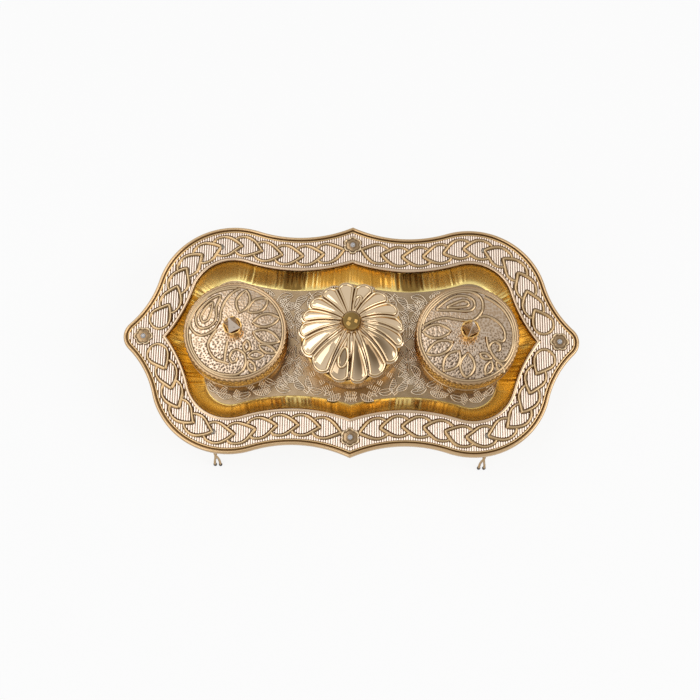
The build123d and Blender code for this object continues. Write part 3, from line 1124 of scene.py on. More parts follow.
    def make_braid(self) -> None:
        """Make the linked hearts, which run in each quarter from the end rosette to the middle one."""
        work = WireWork("rim_braid", self.braid_width, self.braid_height, BRAID_FINISH, sides=16)
        centre = self.outline.quarter(self.braid_inset)
        along = np.concatenate([[0], np.cumsum(np.hypot(*np.diff(centre, axis=0).T))])
        last_tip = along[-1] - self.braid_last_tip
        gaps = round((last_tip - self.braid_first_tip) / self.braid_pitch)
        for mirror in QUARTERS:
            for index, tip in enumerate(np.linspace(self.braid_first_tip, last_tip, gaps + 1)):
                link = self._link(index == 0)
                plan = self._bend(centre, along, tip + link[:, 0], link[:, 1]) * mirror
                work.path(plan, self.level.rim_top + self.braid_lift + link[:, 2], closed=index == 0)
        work.settle(Body.TRAY)

    @staticmethod
    def _bend(centre: np.ndarray, along: np.ndarray, distance: np.ndarray, across: np.ndarray) -> np.ndarray:
        """Lay points along the centre line of a quarter.

        Args:
            centre: The centre line.
            along: The distance of each of its points from its start.
            distance: How far along the line each point lies.
            across: How far to its left each point lies.

        Returns:
            One row of X and Y for each point.
        """
        behind, point, ahead = (
            np.column_stack([np.interp(distance + step, along, centre[:, axis]) for axis in (0, 1)])
            for step in (-0.5, 0.0, 0.5)
        )
        way = unit(ahead - behind)
        return point + np.column_stack([-way[:, 1], way[:, 0]]) * across[:, None]

    def rosette_places(self) -> list[tuple[Point, float]]:
        """Return the place and the turn of the four rosettes."""
        reach_x = self.outline.length / 2 - self.rosette_inset
        reach_y = self.outline.width / 2 - self.rosette_inset
        places = ((reach_x, 0.0), (0.0, reach_y), (-reach_x, 0.0), (0.0, -reach_y))
        return [(place, math.radians(90 * index)) for index, place in enumerate(places)]

    def make_rosettes(self) -> None:
        """Make the six-petalled flowers, each a raised outline over a dished disc."""
        shell = Shell("rosette_flowers")
        columns = 120
        turn = round_steps(columns)
        petal = self.petal_reach + self.petal_swell * np.abs(np.cos(3 * turn)) ** 0.7
        # The third number of each row is its relief, which paints shade at the border's foot and in the dish,
        # and a highlight on the border's crest.
        border = [(1.04, -0.05, 0.0), (1.01, 0.15, 0.0), (0.97, 0.6, 0.6), (0.91, 0.86, 1.0)]
        dish = [(0.84, 0.86, 1.0), (0.78, 0.62, 0.4), (0.73, 0.42, 0.0), (0.66, 0.46, 0.5)]
        disc = [(0.55, 0.55, 0.7), (0.47, 0.6, 0.3)]
        for place, spin in self.rosette_places():
            rows = []
            for share, height, relief in border + dish + disc:
                blend = np.clip((share - 0.45) / 0.35, 0, 1)
                reach = (petal * blend + self.disc_radius * (1 - blend)) * share
                plan = polar(turn + spin, reach, place)
                rows.append(shell.put(plan, self.level.rim_top + height, relief=relief))
            shell.skin(rows, columns)
            shell.fan(rows[-1], columns, (*place, self.level.rim_top + 0.6), relief=0.3)
            shell.fan(rows[0], columns, (*place, self.level.rim_top - 0.05), flip=True, relief=0.0)
        settle(shell.make(ROSETTE_FINISH, sharp=60.0), Body.TRAY, ROSETTE_FINISH, "rim_rosettes")

    def make_stones(self) -> None:
        """Make the cut stones, with a table, crown facets and a girdle."""
        shell = Shell("rosette_cut_stones")
        sides = 8
        girdle, crown = ((1.15, 0.55, 0.0), (1.2, 0.85, 0.0)), ((0.92, 1.3, 0.5), (0.6, 1.55, 0.0))
        for place, spin in self.rosette_places():
            rows = []
            for radius, height, offset in girdle + crown:
                turn = round_steps(sides) + offset * TAU / sides + spin
                rows.append(shell.put(polar(turn, radius, place), self.level.rim_top + height))
            shell.tube(rows, sides)
        settle(shell.make(STONE_FINISH, sharp=5.0), Body.TRAY, STONE_FINISH, "rosette_stones")

    def make_rivets(self) -> None:
        """Make the domed rivet heads and the shanks below them."""
        shell = Shell("leg_rivet_heads")
        columns = 24
        shank = [(1.0, -2.4), (1.0, -2.0), (0.7, -2.0), (0.7, 0.0)]
        head = [(1.3, 0.0), (1.25, 0.35), (1.0, 0.62), (0.5, 0.78)]
        for sign_x, sign_y in QUARTERS:
            centre = (sign_x * LEG_X, sign_y * RIVET_Y)
            shell.tube(shell.turned(shank + head, centre, self.level.rim_top, columns), columns)
        settle(shell.make(RIVET_FINISH), Body.TRAY, RIVET_FINISH, "leg_rivets")

    def make(self) -> None:
        """Make every piece of the rim."""
        self.make_sheet()
        self.make_ribs()
        self.make_braid()
        self.make_rosettes()
        self.make_stones()
        self.make_rivets()


@dataclass(frozen=True)
class Leaf:
    """A chased leaf on the floor plate, with its root, direction, size and filling."""

    x: float
    y: float
    turn: float
    length: float
    width: float
    hatched: bool
    bow: float = 0.12
    stroke_pitch: float = 1.25

    def outline(self) -> np.ndarray:
        """Return the leaf's closed outline in plan."""
        share = np.linspace(0, 1, 13)
        half = self.width / 2 * np.sin(math.pi * share**0.8) ** 0.8
        left = np.column_stack([share * self.length, self._midrib(share) + half])
        right = np.column_stack([share * self.length, self._midrib(share) - half])
        return self._place(np.vstack([left, right[::-1][1:-1]]))

    def strokes(self) -> list[np.ndarray]:
        """Return the midrib, or the slanting strokes of a hatched leaf."""
        if not self.hatched:
            share = np.linspace(0.1, 0.85, 7)
            return [self._place(np.column_stack([share * self.length, self._midrib(share)]))]
        lines = []
        for share in np.linspace(0.16, 0.82, max(3, round(self.length / self.stroke_pitch))):
            half = 0.42 * self.width * math.sin(math.pi * share**0.8)
            middle = np.array([share * self.length, self._midrib(share)])
            lines.append(self._place(np.array([middle - (0.5 * half, half), middle + (0.5 * half, half)])))
        return lines

    def _midrib(self, share: float | np.ndarray) -> float | np.ndarray:
        """Return how far the midrib bows aside at a share of the length."""
        return self.bow * self.length * np.sin(math.pi * share)

    def _place(self, plan: np.ndarray) -> np.ndarray:
        """Turn points to the leaf's direction and move them to its root."""
        cos, sin = math.cos(math.radians(self.turn)), math.sin(math.radians(self.turn))
        return plan @ np.array([[cos, sin], [-sin, cos]]) + (self.x, self.y)


@dataclass
class Well:
    """The drawn pan with its fluted wall, and the chased plate on its bottom."""

    outline: TrayOutline
    level: Level
    lip_width: float = 3.0
    sheet: float = 0.8
    plate_sheet: float = 0.5
    wall_run: float = 6.9
    inner_bulge: float = 1.35
    wall_steps: int = 20
    flute_depth: float = 0.13
    flutes: tuple[Point, ...] = ((1.6, 0.55), (2.3, 0.8), (3.7, 0.8), (6.1, 0.8))
    # Painted shade in the flutes' hollows and a painted highlight on their ridges.
    flute_shade: float = 0.2
    fade_start: int = 14
    fade_end: int = 6
    fade_steps: int = 30
    seam_steps: int = 60
    # The wall's painted shade: its level, and two soft dark patches painted on the rear wall.
    wall_shade: float = 0.52
    painted_shade_patch_x: float = 26.0
    painted_shade_patch_reach: float = 5.0
    painted_shade_patch_strength: float = 1.3
    under_steps: int = 6
    chasing_width: float = 0.9
    chasing_height: float = 0.4
    tendrils: tuple[tuple[float, ...], ...] = (
        (10.6, 23.2, 1.5, 30), (31.6, 19.6, 1.7, 160), (24.4, 12.0, 1.5, 80),
    )
    hatch_patches: int = 110
    hatch_strokes: int = 4
    hatch_gap: float = 0.85
    hatch_length: float = 2.4
    seed: int = 7

    def _ripple(self, plan: np.ndarray) -> np.ndarray:
        """Return the wall's ripple along the ring, strong at tips and waists and none on the lobes.

        Args:
            plan: The ring of the well's mouth.

        Returns:
            One number for each point.
        """
        index = np.arange(self.outline.quarter_steps)
        first = self.outline.tip_steps + self.outline.hollow_steps - self.fade_start
        last = first + self.fade_start + self.outline.lobe_steps + self.fade_end
        calm = np.clip((index - first) / self.fade_steps, 0, 1)
        calm *= np.clip((last - index) / self.fade_steps, 0, 1)
        quarter = 1 - calm
        strength = np.concatenate([quarter, quarter[::-1], quarter, quarter[::-1]])
        way = np.cumsum(np.hypot(*(np.roll(plan, -1, axis=0) - plan).T))
        count = len(plan)
        from_seam = np.minimum(np.arange(count), np.arange(count)[::-1])
        rng = np.random.default_rng(self.seed)
        wave = np.zeros(count)
        for pitch, depth in self.flutes:
            drift = self._wander(rng, -1.5, 1.5, 40, count) * np.minimum(1, from_seam / self.seam_steps)
            swell = self._wander(rng, 0.2, 1.0, 60, count)
            wave += depth * swell * np.sin(TAU * round(way[-1] / pitch) * way / way[-1] + drift)
        return strength * wave

    @staticmethod
    def _wander(rng: np.random.Generator, low: float, high: float, spans: int, count: int) -> np.ndarray:
        """Return numbers that wander between two limits.

        Args:
            rng: The source of the random numbers.
            low: The lower limit.
            high: The upper limit.
            spans: How many straight stretches there are.
            count: How many numbers there are.

        Returns:
            The numbers in order.
        """
        knots = rng.uniform(low, high, spans + 1)
        return np.interp(np.linspace(0, spans, count), np.arange(spans + 1), knots)

    def make_pan(self) -> None:
        """Make the pan as a closed sheet, its inner face fluted."""
        shell = Shell("well_pan_fluted")
        top = self.level.rim_top - RIM_SHEET
        bottom = self.level.floor_top - self.plate_sheet
        across = 4 * self.outline.quarter_steps
        mouth = self.outline.ring(MOUTH_INSET)
        ripple = self._ripple(mouth)
        # Two soft patches of painted shade darken the rear wall on both sides of the middle.
        off_painted_shade_patch = (np.abs(mouth[:, 0]) - self.painted_shade_patch_x) / self.painted_shade_patch_reach
        patch = np.exp(-(off_painted_shade_patch**2)) * (mouth[:, 1] > 0)
        lip = self.outline.ring(MOUTH_INSET - self.lip_width)
        curve = 2 / self.inner_bulge
        rows = [shell.put(lip, top, relief=0.5)]
        for step in range(self.wall_steps + 1):
            turn = math.radians(90 * step / self.wall_steps)
            inset = MOUTH_INSET + self.wall_run * (1 - max(math.cos(turn), 0.0) ** curve)
            height = top - (top - bottom) * math.sin(turn) ** curve
            wave = ripple * np.clip(3.0 * math.sin(2 * turn), 0, 1)
            plan = self.outline.ring(inset)
            inward = unit(self.outline.ring(inset + 0.4) - plan) * (wave * self.flute_depth)[:, None]
            # The relief paints shade in the flutes' hollows, a highlight on their ridges and the two dark
            # patches.
            shade = self.painted_shade_patch_strength * patch * math.sin(2 * turn) ** 0.5
            relief = np.clip(self.wall_shade + self.flute_shade * wave - shade, 0, 1)
            rows.append(shell.put(plan + inward, height, relief=relief))
        shell.skin(rows, across)
        shell.fan(rows[-1], across, (0, 0, bottom), relief=0.5)
        under = [shell.put(lip, top - self.sheet, relief=0.5)]
        for step in range(self.under_steps + 1):
            turn = math.radians(90 * step / self.under_steps)
            inset = MOUTH_INSET + self.wall_run * (1 - math.cos(turn)) - self.sheet * math.cos(turn)
            height = top - (top - bottom + self.sheet) * math.sin(turn)
            if height < top - self.sheet:
                under.append(shell.put(self.outline.ring(inset), height, relief=0.5))
        shell.skin([rows[0], *under][::-1], across)
        shell.fan(under[-1], across, (0, 0, bottom - self.sheet), flip=True, relief=0.5)
        settle(shell.make(WELL_FINISH, sharp=60.0), Body.TRAY, WELL_FINISH, "well_pan")

    def leaves(self) -> list[Leaf]:
        """Return the leaves of the rear right quarter of the floor plate."""
        return [
            Leaf(4.5, 23.6, 28, 6.5, 2.6, True), Leaf(12.5, 22.8, -16, 7.0, 3.0, False),
            Leaf(17.5, 21.6, -72, 6.0, 2.6, True), Leaf(20.6, 22.0, -50, 7.5, 3.2, True),
            Leaf(21.5, 15.5, -62, 8.0, 3.2, False), Leaf(30.5, 16.0, 236, 7.5, 3.2, True),
            Leaf(25.8, 8.6, -94, 7.0, 3.0, False), Leaf(27.0, 22.4, -22, 8.0, 3.2, False),
            Leaf(25.6, 18.6, -45, 7.5, 3.0, True), Leaf(35.5, 22.2, 6, 8.5, 3.0, True),
            Leaf(34.0, 19.4, -30, 6.5, 2.8, False), Leaf(44.6, 23.8, 10, 8.0, 2.8, False),
            Leaf(53.0, 25.6, -14, 7.0, 2.6, True), Leaf(59.6, 23.6, -48, 6.5, 2.4, False),
        ]

    def make_chasing(self) -> None:
        """Make the leaves, stems, tendrils and hatching that stand up from the floor plate."""
        work = WireWork(
            "floor_chased_leaves", self.chasing_width, self.chasing_height, FLOOR_CHASING_FINISH, sides=8
        )
        floor = self.level.floor_top
        for mirror in QUARTERS:
            for leaf in self.leaves():
                work.path(leaf.outline() * mirror, floor, closed=True)
                for stroke in leaf.strokes():
                    work.path(stroke * mirror, floor)
            for x, y, size, start in self.tendrils:
                turn = np.radians(start + np.linspace(0, 560, 30))
                work.path(polar(turn, size * np.linspace(1, 0.15, 30), (x, y)) * mirror, floor)
        for index in range(-2, 3):
            stem = smooth_path([(0.7 * index, -22.5), (0.9 * index, -25.0), (1.3 * index, -27.4)], 6)
            work.path(stem, floor)
            work.path(stem * (1, -1), floor)
        for stroke in self._hatching():
            work.path(stroke, floor - 0.04)
        work.settle(Body.TRAY)

    def _hatching(self) -> list[np.ndarray]:
        """Return groups of short parallel strokes that fill the plate between the leaves."""
        rng = np.random.default_rng(self.seed)
        edge = self.outline.quarter(MOUTH_INSET + self.wall_run + 1.0)[::-1]
        found = []
        for patch in rng.uniform((0, 0), (64, 29), (self.hatch_patches, 2)):
            turn = math.radians(rng.choice((35, 60, 120, 145)) + rng.uniform(-10, 10))
            way = np.array([math.cos(turn), math.sin(turn)])
            for index in range(self.hatch_strokes):
                start = patch + self.hatch_gap * index * np.array([way[1], -way[0]])
                stroke = np.array([start, start + way * self.hatch_length])
                reach = np.interp(np.abs(stroke[:, 0]), edge[:, 0], edge[:, 1])
                if (stroke[:, 1] < reach).all() and (stroke > 0).all():
                    found += [stroke * mirror for mirror in QUARTERS]
        return found

    def make(self) -> None:
        """Make the pan, dress the floor plate and chase it."""
        self.make_pan()
        dress("floor_plate", FLOOR_FINISH)
        self.make_chasing()


@dataclass
class Leg:
    """A leg of two twisted wires that part into two toes, with their dark caps."""

    level: Level
    foot_y: float = 52.5
    wire_offset: float = 2.4
    wire_radius: float = 0.55
    twist_radius: float = 0.5
    turns: float = 1.75
    twist_steps: int = 48
    fork_height: float = 7.5
    toe_spread: float = 2.4
    cap_height: float = 1.6
    pad_radius: float = 1.7

    def _wire(self, side: int) -> np.ndarray:
        """Return the path of one wire, from under the pad down to its toe.

        Args:
            side: -1 for the left wire, 1 for the right one.

        Returns:
            One row of X, Y and Z for each point.
        """
        top = self.level.rim_top - 1.4
        top_y = RIVET_Y + self.wire_offset
        lean = (self.foot_y - top_y) / (top - self.cap_height)
        points = []
        for share in np.linspace(0, 1, self.twist_steps + 1):
            height = top + (self.fork_height - top) * share
            turn = (share - 1) * self.turns * TAU
            x = LEG_X + side * self.twist_radius * math.cos(turn)
            y = top_y + (top - height) * lean + side * self.twist_radius * math.sin(turn)
            points.append((x, y, height))
        reach = side * self.toe_spread / 2
        points.append((LEG_X + reach * 0.8, self.foot_y - 1.2, self.fork_height * 0.62))
        points.append((LEG_X + reach, self.foot_y - 0.3, self.fork_height * 0.38))
        points.append((LEG_X + reach, self.foot_y, 0.9 * self.cap_height))
        return smooth_path(points, 3)

    def make(self, name: str, mirror: tuple[int, int]) -> None:
        """Make the wires of one leg and the pad at their head.

        Args:
            name: The frame's node that the leg stands for.
            mirror: On which side of the tray it is, along X and along Y.
        """
        work = WireWork(
            f"{name}_wires", 2 * self.wire_radius, self.wire_radius, LEG_FINISH, profile=Profile.ROUND
        )
        for side in (-1, 1):
            wire = self._wire(side)
            work.path(wire[:, :2] * mirror, wire[:, 2])
        work.settle(Body.TRAY, name)
        pad = Shell(f"{name}_pad")
        columns = 32
        half = self.wire_offset / 2
        oval = polar(round_steps(columns), self.pad_radius)
        oval[:, 1] += np.where(oval[:, 1] > 0, half, -half)
        rows = []
        for shrink, drop in ((0.2, 2.0), (0.0, 1.85), (0.0, 1.15), (0.2, 1.0)):
            plan = oval * (1 - shrink / self.pad_radius) + (LEG_X, RIVET_Y + half)
            rows.append(pad.put(plan * mirror, self.level.rim_top - drop))
        turned_over = mirror[0] * mirror[1] < 0
        pad.tube(rows[::-1] if turned_over else rows, columns)
        settle(pad.make(LEG_FINISH), Body.TRAY, LEG_FINISH)

    def make_toe_caps(self) -> None:
        """Make the round-ended caps on the toes of all four legs."""
        shell = Shell("toe_caps_round")
        columns = 20
        profile = ((0.62, 0.0), (0.76, 0.08), (0.8, 0.3), (0.8, 1.2), (0.74, 1.5), (0.6, self.cap_height))
        for sign_x, sign_y in QUARTERS:
            for side in (-1, 1):
                centre = (sign_x * LEG_X + side * self.toe_spread / 2, sign_y * self.foot_y)
                shell.tube(shell.turned(profile, centre, 0.0, columns), columns)
        settle(shell.make(CAP_FINISH), Body.TRAY, CAP_FINISH, "leg_toe_caps")


@dataclass(frozen=True)
class Paisley:
    """Relief of a lid's face, in shares of the face's radius with the second number to the back."""

    lines: tuple[tuple[Point, ...], ...]
    loops: tuple[tuple[Point, ...], ...]
    leaves: tuple[tuple[float, float, float, float, float], ...]

    def paths(self) -> list[tuple[np.ndarray, bool]]:
        """Return every path with whether it is closed: lines, loops and almond leaves."""
        found = [(smooth_path(line, 5), False) for line in self.lines]
        found += [(smooth_path(loop, 5, closed=True), True) for loop in self.loops]
        share = np.linspace(0, 1, 10)[:, None]
        for x, y, tip_x, tip_y, half in self.leaves:
            way = np.array([tip_x - x, tip_y - y])
            middle = np.array([x, y]) + share * way
            bulge = half * np.sin(math.pi * share) ** 0.8 * unit(np.array([-way[1], way[0]]))
            found.append((np.vstack([middle + bulge, (middle - bulge)[::-1][1:-1]]), True))
        return found


LEFT_PAISLEY = Paisley(
    lines=(
        ((-0.01, 0.95), (-0.31, 0.9), (-0.56, 0.79), (-0.72, 0.63), (-0.86, 0.43), (-0.93, 0.25),
         (-0.93, 0.09), (-0.82, -0.05), (-0.68, -0.1), (-0.53, -0.05), (-0.4, 0.07), (-0.32, 0.24),
         (-0.31, 0.42), (-0.25, 0.63), (-0.12, 0.82), (0.06, 0.94)),
        ((-0.93, -0.07), (-0.91, -0.24), (-0.83, -0.455), (-0.68, -0.67), (-0.51, -0.81), (-0.29, -0.9),
         (-0.08, -0.93), (0.065, -0.92), (0.175, -0.84), (0.24, -0.69), (0.23, -0.53), (0.16, -0.436),
         (0.05, -0.4), (-0.055, -0.455), (-0.09, -0.57), (-0.04, -0.66), (0.03, -0.65), (0.06, -0.57)),
        ((-0.38, 0.03), (-0.51, -0.165), (-0.545, -0.32), (-0.48, -0.49), (-0.36, -0.61), (-0.19, -0.67),
         (-0.1, -0.7)),
        ((-0.15, -0.22), (-0.17, -0.35), (-0.185, -0.5), (-0.19, -0.66)),
    ),
    loops=(
        ((-0.34, 0.775), (-0.56, 0.67), (-0.75, 0.475), (-0.82, 0.3), (-0.8, 0.145), (-0.71, 0.06),
         (-0.565, 0.07), (-0.435, 0.18), (-0.4, 0.34), (-0.41, 0.53)),
        ((-0.5, 0.62), (-0.65, 0.475), (-0.72, 0.32), (-0.7, 0.22), (-0.64, 0.19), (-0.57, 0.24),
         (-0.53, 0.36), (-0.5, 0.48)),
    ),
    leaves=(
        (0.08, 0.4, 0.2, 0.9, 0.14), (0.25, 0.42, 0.65, 0.72, 0.14), (0.35, 0.18, 0.9, 0.31, 0.14),
        (0.37, -0.02, 0.92, -0.2, 0.14), (0.26, -0.2, 0.24, -0.44, 0.07), (0.29, -0.52, 0.6, -0.49, 0.08),
        (0.3, -0.62, 0.42, -0.86, 0.07), (0.5, -0.3, 0.86, -0.44, 0.08),
    ),
)
RIGHT_PAISLEY = Paisley(
    lines=(
        ((-0.93, 0.205), (-0.88, 0.36), (-0.76, 0.56), (-0.56, 0.75), (-0.32, 0.89), (-0.07, 0.94),
         (0.12, 0.92), (0.25, 0.85), (0.32, 0.71), (0.31, 0.54), (0.23, 0.4), (0.1, 0.3), (-0.07, 0.29),
         (-0.25, 0.32), (-0.48, 0.35), (-0.68, 0.3), (-0.85, 0.22), (-0.93, 0.17)),
        ((0.36, 0.83), (0.57, 0.71), (0.74, 0.56), (0.86, 0.36), (0.93, 0.17), (0.94, -0.03), (0.92, -0.22),
         (0.84, -0.42), (0.74, -0.55), (0.61, -0.54), (0.5, -0.42), (0.44, -0.28), (0.47, -0.19),
         (0.57, -0.15), (0.66, -0.22), (0.64, -0.33), (0.58, -0.33)),
        ((0.23, 0.38), (0.38, 0.4), (0.55, 0.34), (0.68, 0.225), (0.76, 0.07), (0.76, -0.07), (0.7, -0.14),
         (0.61, -0.11)),
        ((0.38, -0.05), (0.4, -0.19), (0.44, -0.34)),
    ),
    loops=(
        ((-0.63, 0.56), (-0.44, 0.73), (-0.21, 0.84), (0.01, 0.83), (0.13, 0.75), (0.15, 0.62),
         (0.065, 0.52), (-0.08, 0.5), (-0.33, 0.52), (-0.55, 0.52)),
        ((-0.42, 0.59), (-0.28, 0.67), (-0.1, 0.74), (0.0, 0.72), (0.03, 0.66), (-0.02, 0.61), (-0.12, 0.59),
         (-0.28, 0.58)),
    ),
    leaves=(
        (-0.35, 0.07, -0.93, 0.05, 0.15), (-0.31, -0.17, -0.85, -0.42, 0.14),
        (-0.18, -0.36, -0.5, -0.78, 0.15), (0.0, -0.4, -0.04, -0.92, 0.15), (0.24, -0.42, 0.47, -0.5, 0.06),
        (0.36, -0.84, 0.48, -0.56, 0.07), (0.58, -0.57, 0.73, -0.79, 0.06),
    ),
)


@dataclass
class SideBox:
    """A round box with a slip-on paisley lid, a dimpled skirt and a faceted bud as its knob."""

    side: str
    x: float
    level: Level
    design: Paisley
    cup_body: Body
    lid_body: Body
    lean: Point
    face_radius: float = 21.3
    height: float = 15.6
    edge_rise: float = 0.4
    crown: float = 0.9
    wire_width: float = 1.85
    wire_height: float = 0.62
    columns: int = 480
    face_rings: int = 84
    pit_pitch: float = 1.02
    pit_depth: float = 0.12
    pit_reach: float = 0.24
    pit_spread: float = 0.2
    pit_seed: int = 3
    rope_strands: int = 60
    rope_depth: float = 0.32
    stud_count: int = 50
    stud_radius: float = 22.35
    stud_heights: tuple[float, ...] = (8.3, 10.2, 12.1)
    stud_size: tuple[float, float, float] = (0.55, 1.3, 0.95)
    bud_turn: float = 28.0
    bud_height: float = 11.4
    bud_edge: float = 0.18

    @property
    def centre(self) -> Point:
        """X and Y of the box's axis."""
        return (self.x, 0.0)

    @property
    def face_top(self) -> float:
        """Height of the crowned face at its middle."""
        return self.level.floor_top + self.height - self.edge_rise + self.crown

    def _face(self, radius: float | np.ndarray) -> float | np.ndarray:
        """Return the height of the crowned face at a radius."""
        return self.face_top - self.crown * np.clip(radius / self.face_radius, 0, 1) ** 2

    def make_cup(self) -> None:
        """Make the cup with its bellied foot and its neck."""
        shell = Shell(f"{self.side}_cup_shell")
        outside = [(0.001, 0.0), (20.6, 0.0), (21.2, 0.25), (21.9, 1.4), (22.2, 2.6), (22.2, 4.7)]
        neck = [(22.0, 5.0), (21.5, 5.0), (21.5, 14.2), (21.3, 14.4), (20.7, 14.4), (20.5, 14.2)]
        inside = [(20.5, 2.4), (20.0, 1.3), (19.3, 1.0), (0.001, 1.0)]
        rows = shell.turned(outside + neck + inside, self.centre, self.level.floor_top, 128)
        shell.skin(rows, 128, closed=True)
        settle(shell.make(CUP_FINISH), self.cup_body, CUP_FINISH, f"{self.side}_cup")

    def make_lid(self) -> None:
        """Make the lid, with its stippled face, roped edge and skirt, closed below."""
        shell = Shell(f"{self.side}_lid_shell")
        base = self.level.floor_top
        turn = round_steps(self.columns)
        rope = self.rope_depth * (0.5 - 0.5 * np.cos(self.rope_strands * turn))
        skirt = [(21.4, 5.3, 1.0), (22.75, 5.3, 1.0), (23.0, 5.6, 1.0), (23.0, 6.4, 1.0), (22.5, 6.8, 1.0)]
        skirt += [(22.4, 7.2, 1.0), (22.4, 13.2, 1.0), (22.5, 13.6, 1.0)]
        edge = [(22.95, 14.0, 1.0), (23.0, 14.8, 1.0), (22.85, 15.3, 1.0), (22.4, 15.58, 0.9)]
        edge += [(21.9, 15.6, 0.7), (21.5, 15.45, 0.5), (21.3, 15.2, 0.3)]
        rows = []
        for radius, height, gilt in skirt + edge:
            # The relief paints shade in the rope's grooves and on the skirt's band between the studs.
            notch = rope if radius > 22.8 and 13.9 < height < 15.4 else 0.0 * rope
            tone = 0.12 if 7.1 < height < 13.3 else 0.5
            plan = polar(turn, radius - notch, self.centre)
            rows.append(shell.put(plan, base + height, gilt=0.75 * gilt, relief=tone - notch))
        for step in range(1, self.face_rings):
            radius = self.face_radius * (1 - step / self.face_rings)
            plan = polar(turn, radius)
            # The pits are painted dark as shade, and towards the rear the face is painted lighter and warmer,
            # with more gilt, as painted light; its pits are also shallower there.
            rear = plan[:, 1] / self.face_radius
            depth = np.clip(0.75 - 0.6 * rear, 0.35, 1.1)
            pits = self._stipple(plan)
            height = self._face(radius) + self.pit_depth * depth * (pits - 0.6)
            relief = 0.49 + 0.18 * rear + depth * (pits - 0.66)
            gilt = 0.3 * np.clip(0.5 + rear, 0, 1)
            rows.append(shell.put(plan + self.centre, height, gilt=gilt, relief=relief))
        shell.skin(rows, self.columns)
        shell.fan(rows[-1], self.columns, (*self.centre, self.face_top), gilt=0.0, relief=0.5)
        hollow = ((21.8, 5.3), (21.8, 14.4), (10.0, 14.9))
        inner = shell.turned(hollow, self.centre, base, self.columns, gilt=1.0, relief=0.5)
        shell.skin([*inner[::-1], rows[0]], self.columns)
        shell.fan(inner[-1], self.columns, (*self.centre, base + 14.9), flip=True, gilt=1.0, relief=0.5)
        settle(shell.make(LID_FINISH, sharp=50.0), self.lid_body, LID_FINISH, f"{self.side}_lid")

    def _stipple(self, plan: np.ndarray) -> np.ndarray:
        """Return a field of small round pits, one at a scattered place in each cell of a grid.

        Args:
            plan: One row of X and Y for each point.

        Returns:
            One number for each point, from 0 in a pit to 1 on the ground between the pits.
        """
        cell = np.floor(plan / self.pit_pitch).astype(int)
        near = np.full(len(plan), 9.0)
        for step in np.ndindex(3, 3):
            column, row = (cell + step - 1).T
            shift_x = np.sin(column * 127.1 + row * 311.7 + self.pit_seed) * 43758.5453
            shift_y = np.sin(column * 269.5 + row * 183.3 + self.pit_seed) * 43758.5453
            spot = np.column_stack([column + shift_x % 1, row + shift_y % 1]) * self.pit_pitch
            reach = self.pit_reach + self.pit_spread * (10 * shift_x % 1)
            near = np.minimum(near, np.hypot(*(plan - spot).T) / reach)
        return np.clip(1 - np.exp(-((near / self.pit_pitch) ** 2)), 0, 1)

    def make_relief(self) -> None:
        """Make the raised paisleys, tendrils and leaves of the face and the wire round it."""
        work = WireWork(
            f"{self.side}_lid_paisleys", self.wire_width, self.wire_height, LID_WIRE_FINISH, sides=14
        )
        for share, closed in [*self.design.paths(), (polar(round_steps(180), 0.985), True)]:
            plan = share * self.face_radius
            work.path(plan + self.centre, self._face(np.hypot(*plan.T)) - 0.02, closed=closed)
        work.settle(self.lid_body)

    def make_studs(self) -> None:
        """Make the rows of round studs on the skirt."""
        shell = Shell(f"{self.side}_lid_studs")
        for row, height in enumerate(self.stud_heights):
            turn = round_steps(self.stud_count) + 0.5 * (row % 2) * TAU / self.stud_count
            shell.put(polar(turn, self.stud_radius, self.centre), self.level.floor_top + height, turn=turn)
        sizes = dict(zip(("Depth", "Breadth", "Rise"), (size * MM for size in self.stud_size)))
        piece = StudGroup().grow(shell.make(STUD_FINISH), **sizes, Finish=STUD_FINISH.make())
        settle(piece, self.lid_body, STUD_FINISH)

    def _leant(self, height: float) -> np.ndarray:
        """Return the knob's centre at a height above the face."""
        return np.array(self.centre) + np.array(self.lean) * max(height, 0.0) / self.bud_height

    def make_calyx(self) -> None:
        """Make the fluted calyx that holds the bud."""
        shell = Shell(f"{self.side}_calyx_cup")
        columns = 96
        turn = round_steps(columns)
        waist = [(2.6, -0.15, 0.0), (2.7, 0.3, 0.3), (2.1, 1.3, 0.6), (2.4, 2.4, 0.8), (3.4, 3.9, 1.0)]
        mouth = [(4.0, 5.0, 1.0), (4.05, 5.3, 1.0), (3.7, 5.4, 0.9), (3.2, 5.0, 0.5), (2.4, 4.3, 0.0)]
        rows = []
        for radius, height, flute in waist + mouth:
            reach = radius * (1 + 0.09 * flute * (np.abs(np.cos(4 * turn)) - 0.5))
            rows.append(shell.put(polar(turn, reach, self._leant(height)), self.face_top + height))
        shell.tube(rows, columns)
        settle(shell.make(CALYX_FINISH, sharp=60.0), self.lid_body, CALYX_FINISH, f"{self.side}_knob_calyx")

    def make_bud(self) -> None:
        """Make the faceted bud, with its edges a little rounded."""
        shell = Shell(f"{self.side}_bud_facets")
        corners = round_steps(4) + math.radians(45 + self.bud_turn)
        foot = [(3.2, 4.2), (5.6, 5.3), (5.8, 5.6)]
        rows = []
        for width, height in foot + [(5.5, 6.0), (0.9, 11.2), (0.5, self.bud_height)]:
            plan = polar(corners, width / math.sqrt(2), self._leant(height))
            rows.append(shell.put(plan, self.face_top + height))
        shell.tube(rows, 4)
        piece = shell.make(BUD_FINISH, sharp=5.0)
        bevel = piece.modifiers.new("soft edges", "BEVEL")
        bevel.width = self.bud_edge * MM
        bevel.segments = 2
        settle(piece, self.lid_body, BUD_FINISH, f"{self.side}_knob_bud")

    def make(self) -> None:
        """Make every piece of the box."""
        self.make_cup()
        self.make_lid()
        self.make_relief()
        self.make_studs()
        self.make_calyx()
        self.make_bud()


